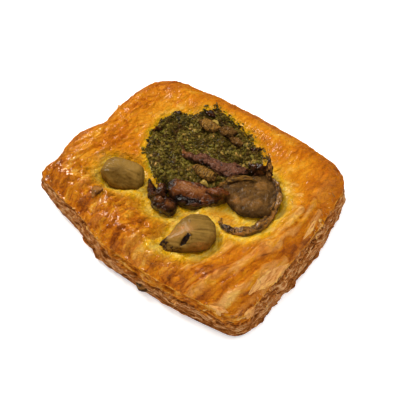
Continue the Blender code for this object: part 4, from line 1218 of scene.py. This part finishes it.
class DANISH_OT_crust(Operator):
    """Builds the puffed, glazed and laminated dough with its loose flakes"""
    bl_idname = "danish.crust"
    bl_label = "Crust"

    def execute(self, context):
        settings = context.scene.danish_crust
        bm, station = pillow_topology()
        positions, layers = crust_vertices(station, settings)
        move_to(bm.verts, positions)
        finish_mesh("crust", bm, layers, crust_material(settings), ["pastry"])
        bm = bmesh.new()
        rng = random.Random(FLAKE_SEED)
        browning = crust_flakes(bm, surface_of("crust"), settings.flakes, rng)
        finish_mesh("crust_flakes", bm, {"browning": browning}, flake_material(settings))
        return {"FINISHED"}


# ---- herbs -------------------------------------------------------------------------------------
class DANISH_OT_herbs(Operator):
    """Builds the herb heap: a dark core under loose chopped bits"""
    bl_idname = "danish.herbs"
    bl_label = "Herbs"

    def execute(self, context):
        settings = context.scene.danish_herbs
        rng = random.Random(HERB_SEED)
        material = herb_material(settings)
        bm = in_mm(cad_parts["herb_filling"].data)
        bmesh.ops.remove_doubles(bm, verts=bm.verts, dist=0.001)
        for _ in range(2):
            bmesh.ops.subdivide_edges(bm, edges=bm.edges, cuts=1, use_grid_fill=True, smooth=0.6)
        points = np.array([v.co for v in bm.verts])
        points[:, 2] += 1.4 * grain(points, 4.0, 40, 2) + 0.8 * grain(points, 1.6, 41) - 0.7
        move_to(bm.verts, points)
        tint = 0.3 + 0.35 * grain(points, 2.0, 42, 2)
        finish_mesh("herb_core", bm, {"tint": tint}, material, ["herb_filling"])
        trees = surface_of("herb_core", "crust")
        templates = []
        for _ in range(HERB_SHAPES):
            template = bmesh.new()
            bmesh.ops.create_icosphere(template, subdivisions=1, radius=0.5)
            squash = (1.0, rng.uniform(0.3, 0.75), rng.uniform(0.12, 0.35))
            bend = rng.uniform(-0.8, 0.8)
            for vert in template.verts:
                vert.co = Vector(vert.co[k] * squash[k] * rng.uniform(0.6, 1.4) for k in range(3))
                vert.co.z += bend * vert.co.x ** 2
            templates.append(stored(template, "herb_template"))
        bm, tints = bmesh.new(), []
        for _ in range(settings.pieces):
            angle, spread = rng.uniform(-math.pi, math.pi), math.sqrt(rng.random()) * 1.03
            ragged = noise.noise((math.cos(angle) * 6, math.sin(angle) * 6, 2.0))
            reach = float(reach_at(HEAP_EDGE, HEAP_CENTRE, angle))
            # sprigs have strayed out over the dough on the heap's far right
            if math.cos(angle - 0.9) > 0.2 and rng.random() < 0.09:
                spread = 0.98 + 0.15 * rng.random() ** 1.8
            reach = reach * spread * (1.0 + 0.12 * ragged * min(1.0, spread) ** 4)
            x = HEAP_CENTRE[0] + reach * math.cos(angle)
            y = HEAP_CENTRE[1] + reach * math.sin(angle)
            size = rng.random() ** 2.4
            size = (settings.smallest + (settings.largest - settings.smallest) * size) / MM
            z = rest_on(trees, x, y)[0] + size * rng.uniform(-0.1, 0.3)
            turn = Matrix.Rotation(rng.uniform(0, math.tau), 4, "Z")
            tip = Matrix.Rotation(rng.gauss(0, 0.7), 4, (rng.gauss(0, 1), rng.gauss(0, 1), 0.01))
            place = Matrix.Translation((x, y, z)) @ tip @ turn @ Matrix.Scale(size, 4)
            patch = noise.noise((x / 5, y / 5, 7.0)) + 0.6 * noise.noise((x / 2, y / 2, 3.0))
            shadowed = 0.1 * smooth((y - x - 36.0) / 12.0) + 0.08 * smooth((spread - 0.85) / 0.15)
            tint = 0.54 + 0.45 * patch - float(shadowed) + rng.gauss(0, 0.15)
            if rng.random() < 0.06:
                tint = rng.uniform(0.75, 1.0)
            tints += [min(1.0, max(0.0, tint))] * add_bit(bm, templates, place, rng)
        for template in templates:
            bpy.data.meshes.remove(template)
        finish_mesh("herb_bits", bm, {"tint": tints}, material)
        return {"FINISHED"}


# ---- mushrooms ---------------------------------------------------------------------------------
Skin = namedtuple("Skin", "place along across up rim")  # mm along and across, -1..1 up, 0..1 out


def strip_skin(verts, strip, trees, along_cells):
    """Skin of a strip that rests on what is below its path, from the vertices of a unit sphere."""
    ball = np.array([v.co for v in verts])
    t = np.arccos(np.clip(-ball[:, 2], -1, 1)) / math.pi
    angle = np.arctan2(ball[:, 1], ball[:, 0])
    full = np.minimum(1.0, np.hypot(ball[:, 0], ball[:, 1])) ** strip.ends
    sideways = np.copysign(np.abs(np.cos(angle)) ** strip.section, np.cos(angle)) * full
    upward = np.copysign(np.abs(np.sin(angle)) ** strip.section, np.sin(angle)) * full
    centre = along_path(strip.path, t)
    ahead = heading(strip.path, t)
    ahead /= np.linalg.norm(ahead, axis=1)[:, None]
    width = along_values(strip.half_widths, t)
    thick = along_values(strip.half_heights, t)
    x = centre[:, 0] - ahead[:, 1] * sideways * width
    y = centre[:, 1] + ahead[:, 0] * sideways * width
    shares = np.linspace(0, 1, along_cells + 1)
    spots = along_path(strip.path, shares)
    spine = [rest_on(trees, *spot)[0] for spot in spots]
    spine = np.convolve(np.pad(spine, 3, mode="edge"), np.ones(7) / 7, mode="valid")
    lift = strip.lift if isinstance(strip.lift, tuple) else (strip.lift,) * 2
    middle = np.interp(t, shares, spine) + thick + along_values(lift, t)
    span = np.linalg.norm(np.diff(spots, axis=0), axis=1).sum()
    up = np.copysign(np.abs(np.sin(angle)) ** 0.7, np.sin(angle))
    rim = np.maximum(np.abs(np.cos(angle)), np.abs(2 * t - 1) ** 3)
    return Skin(flat(x, y, middle + upward * thick), t * span, np.cos(angle) * width, up, rim)


def chunk_skin(verts, name, chunk):
    """Skin of a chunk that fills its outline at its CAD node's height, from a unit sphere."""
    ball = np.array([v.co for v in verts])
    centre = np.mean(chunk.outline, axis=0)
    angle = np.arctan2(ball[:, 1], ball[:, 0])
    spread = np.minimum(1.0, np.hypot(ball[:, 0], ball[:, 1])) ** chunk.edge
    edge = reach_at(chunk.outline, centre, angle)
    ragged = 0.06 * chunk.edge * grain(flat(np.cos(angle), np.sin(angle)), 0.35, len(name), 2)
    edge = edge * (1 + ragged)
    up = np.copysign(np.abs(ball[:, 2]) ** chunk.edge, ball[:, 2])
    x = centre[0] + np.cos(angle) * spread * edge
    y = centre[1] + np.sin(angle) * spread * edge
    node = np.array([v.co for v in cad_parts[name].data.vertices]) / MM
    slope = np.stack([node[:, 0], node[:, 1], np.ones(len(node))], axis=-1)
    level = np.linalg.lstsq(slope, node[:, 2], rcond=None)[0]
    low, high = np.percentile(node[:, 2] - slope @ level, (2, 98)) + (0.0, chunk.rise)
    z = x * level[0] + y * level[1] + level[2] + np.where(up > 0, high * up, -low * up)
    foot = x * level[0] + y * level[1] + level[2] + low
    for facet in FACETS.get(name, ()):
        past, _ = turned(x - facet.x, y - facet.y, math.radians(facet.turn))
        drop = facet.slope * np.logaddexp(0.0, 4.0 * past) / 4.0 + facet.step * smooth(past / 0.5)
        z = foot + (z - foot) * (1 - np.minimum(drop / (high - low), 0.8))
    along, across = turned(x - centre[0], y - centre[1], math.radians(chunk.turn))
    return Skin(flat(x, y, z), along, across, up, spread)


def carved(name, look, skin):
    """Relief and colours of a mushroom piece: new positions, and its colour layers, which hold
    painted light and shade as well as the flesh's own tones.
    """
    place, up = skin.place.copy(), skin.up
    lumps = grain(place, 2.6, 50, 2)
    fine = grain(place, 0.9, 51)
    drawn_out = np.stack([skin.along / look.long, skin.across / look.fine,
                          place[:, 2] / look.fine * 0.6], axis=-1)
    fibres = grain(drawn_out, 1.0, 52, 2)
    if look.creased:
        fibres = 1.0 - 2.2 * np.abs(fibres)
    relief = look.fibre_push * fibres + look.lump_push * lumps + 0.12 * fine
    # the shade layer: tops are painted lighter as if lit from above, and undersides and outer rims
    # are painted darker, as painted light and shade; fibres and lumps are lighter where they stand
    # up and darker where they sink, partly the flesh's own tone and partly painted light and shade
    # of the relief
    shade = look.base + look.up * up + look.fibre_shade * fibres + look.lump_shade * lumps
    shade = shade + 0.1 * fine - 0.35 * smooth(-up) - look.mottle * 0.3 * skin.rim ** 6
    burn, warm = np.zeros(len(place)), look.warm * (1 + lumps)
    for mark in MARKS.get(name, ()):
        along, across = turned(place[:, 0] - mark.x, place[:, 1] - mark.y, math.radians(mark.turn))
        away = np.hypot(along / mark.length, across / mark.width)
        share = np.exp(-(away * (1 + 0.2 * lumps)) ** 6) * smooth((up + 0.35) / 0.5)
        relief = relief + mark.push * share
        shade = shade + mark.shade * share
        burn = np.maximum(burn, mark.burn * share)
        warm = np.maximum(warm, mark.warm * share)
    place[:, 2] += relief * smooth(0.5 + 0.5 * up)
    place[:, 0] += 0.7 * look.lump_push * grain(skin.place, 1.8, 53, 2)
    place[:, 1] += 0.7 * look.lump_push * grain(skin.place, 1.8, 54, 2)
    warm = np.clip(warm * (1 + 0.8 * lumps), 0, 1)
    return place, {"shade": shade, "burn": np.clip(burn, 0, 1), "warm": warm}


class DANISH_OT_mushrooms(Operator):
    """Builds the cooked mushroom pieces and the small bits among them, from the dough up"""
    bl_idname = "danish.mushrooms"
    bl_label = "Mushrooms"

    def execute(self, context):
        settings = context.scene.danish_mushrooms
        materials = {name: mushroom_material(name, settings) for name in FINISHES}
        below = ["crust", "herb_core"]
        for name, topping in {**TOPPINGS, **SMALL_BITS}.items():
            bm = bmesh.new()
            if isinstance(topping, Chunk):
                verts = unit_sphere(bm, *CHUNK_CELLS)
                skin = chunk_skin(verts, name, topping)
            else:
                span = np.linalg.norm(np.diff(np.asarray(topping.path), axis=0), axis=1).sum()
                cells = int(min(MOST_CELLS, FEWEST_CELLS + span * CELLS_PER_MM))
                verts = unit_sphere(bm, STRIP_CELLS, cells)
                skin = strip_skin(verts, topping, surface_of(*below), cells)
            look = FINISHES[topping.finish]
            places, layers = carved(name, look, skin)
            move_to(verts, places)
            finish_mesh("cooked_" + name, bm, layers, materials[topping.finish],
                        [name] if name in TOPPINGS else ())
            below.append("cooked_" + name)
        return {"FINISHED"}


# ---- stage, in metres --------------------------------------------------------------------------
FLOOR_RADIUS, FLOOR_GAP, DOME_RADIUS = 0.35, 0.0001, 2.9
CAMERA_TARGET, LIGHT_TARGET = (0.00684, -0.00234, 0.009), (0.0, 0.0, 0.012)
ROOM_GLOW, PAPER_GLOW = 0.35, 0.35
SENSOR_WIDTH, CLIP_START = 36.0, 0.01  # the camera's sensor is in mm
WHITE = (1.0, 1.0, 1.0, 1.0)


def add_backing(name, bm, kind, surface, unseen_by):
    """A white thing of the stage with a one-shader material, hidden from some kinds of ray."""
    mesh = stored(bm, name)
    material, tree = new_material("white_paper_" + name)
    shader = add_node(tree, kind, surface)
    add_node(tree, "OutputMaterial", {"Surface": shader})
    mesh.materials.append(material)
    backing = add_object(name, mesh)
    for ray in unseen_by:
        setattr(backing, "visible_" + ray, False)
    return backing


def soft_light(name, direction, distance, size, share, glints, tint=(1.0, 1.0, 1.0)):
    """A square soft light; share is how white it alone makes a white floor at the pastry."""
    target, direction = Vector(LIGHT_TARGET), Vector(direction).normalized()
    data = bpy.data.lights.new(name, "AREA")
    data.shape = "SQUARE"
    data.size = size
    data.energy = share * math.pi ** 2 * distance ** 2 / direction.z
    data.color = tint
    light = add_object(name, data)
    light.location = target + direction * distance
    light.rotation_mode = "QUATERNION"
    light.rotation_quaternion = direction.to_track_quat("Z", "Y")
    light.visible_glossy = glints


class DANISH_OT_stage(Operator):
    """Adds the pale floor, the soft light and the camera"""
    bl_idname = "danish.stage"
    bl_label = "Stage"

    def execute(self, context):
        settings = context.scene.danish_stage
        scene = context.scene
        bm = bmesh.new()
        bmesh.ops.create_circle(bm, cap_ends=True, segments=96, radius=FLOOR_RADIUS)
        # matt white paper, a little bright so that it burns out round the pastry
        floor = add_backing("floor", bm, "BsdfPrincipled", {
            "Base Color": (0.93, 0.93, 0.93, 1.0), "Roughness": 0.9, "Specular IOR Level": 0.0,
            "Emission Color": WHITE, "Emission Strength": PAPER_GLOW}, ("glossy",))
        floor.location.z = -FLOOR_GAP
        world = bpy.data.worlds.new("pale_room")
        world.use_nodes = True
        world.node_tree.nodes["Background"].inputs["Color"].default_value = WHITE
        world.node_tree.nodes["Background"].inputs["Strength"].default_value = ROOM_GLOW
        world.cycles_visibility.glossy = False
        scene.world = world
        # a white dome behind everything, seen by the camera only, so that it adds no light
        bm = bmesh.new()
        bmesh.ops.create_uvsphere(bm, u_segments=48, v_segments=24, radius=DOME_RADIUS)
        backdrop = add_backing("backdrop", bm, "Emission", {"Color": WHITE, "Strength": 1.0},
                               ("diffuse", "glossy", "transmission", "shadow"))
        soft_light("overhead", (-0.05, 0.0, 1.0), 0.8, 0.5, 0.33, False)
        soft_light("left_key", (-0.62, -0.05, 0.7), 0.6, 0.17, 0.40, True, (1.0, 0.95, 0.84))
        soft_light("far_left_key", (-0.79, 0.33, 0.51), 0.6, 0.06, 0.06, True)
        soft_light("right_key", (0.55, 0.45, 0.7), 0.6, 0.10, 0.18, False)
        soft_light("front_fill", (0.35, -0.75, 0.55), 0.8, 0.5, 0.12, False)
        scene.view_settings.view_transform = "Standard"
        scene.view_settings.look = "None"
        target = Vector(CAMERA_TARGET)
        back = Vector((math.sin(settings.azimuth) * math.cos(settings.elevation),
                       -math.cos(settings.azimuth) * math.cos(settings.elevation),
                       math.sin(settings.elevation)))
        data = bpy.data.cameras.new("camera")
        data.lens = settings.focal
        data.sensor_width = SENSOR_WIDTH
        data.clip_start = CLIP_START
        camera = add_object("camera", data)
        camera.location = target + back * settings.distance
        camera.rotation_mode = "QUATERNION"
        camera.rotation_quaternion = back.to_track_quat("Z", "Y")
        scene.camera = camera
        return {"FINISHED"}


class DANISH_PT_panel(Panel):
    """Lists the pastry's pieces and settings"""
    bl_label = "Danish pastry"
    bl_space_type = "VIEW_3D"
    bl_region_type = "UI"
    bl_category = "Danish"

    def draw(self, context):
        for step in STEPS:
            box = self.layout.box()
            box.operator("danish." + step)
            group = getattr(context.scene, "danish_" + step)
            for name in group.__annotations__:
                box.prop(group, name)


# each step's operator is danish.STEP, and its settings are kept on the scene as danish_STEP
STEPS = {"crust": CrustSettings, "herbs": HerbSettings, "mushrooms": MushroomSettings,
         "stage": StageSettings}
CLASSES = (*STEPS.values(), DANISH_OT_crust, DANISH_OT_herbs, DANISH_OT_mushrooms,
           DANISH_OT_stage, DANISH_PT_panel)


def register():
    """Registers the settings, operators and panel."""
    for cls in CLASSES:
        bpy.utils.register_class(cls)
    for step, settings in STEPS.items():
        setattr(bpy.types.Scene, "danish_" + step, PointerProperty(type=settings))


def unregister():
    """Takes the settings, operators and panel away again."""
    for step in STEPS:
        delattr(bpy.types.Scene, "danish_" + step)
    for cls in reversed(CLASSES):
        bpy.utils.unregister_class(cls)


def main():
    """Builds every piece in order."""
    register()
    for step in STEPS:
        getattr(bpy.ops.danish, step)()


if __name__ == "__main__":
    main()
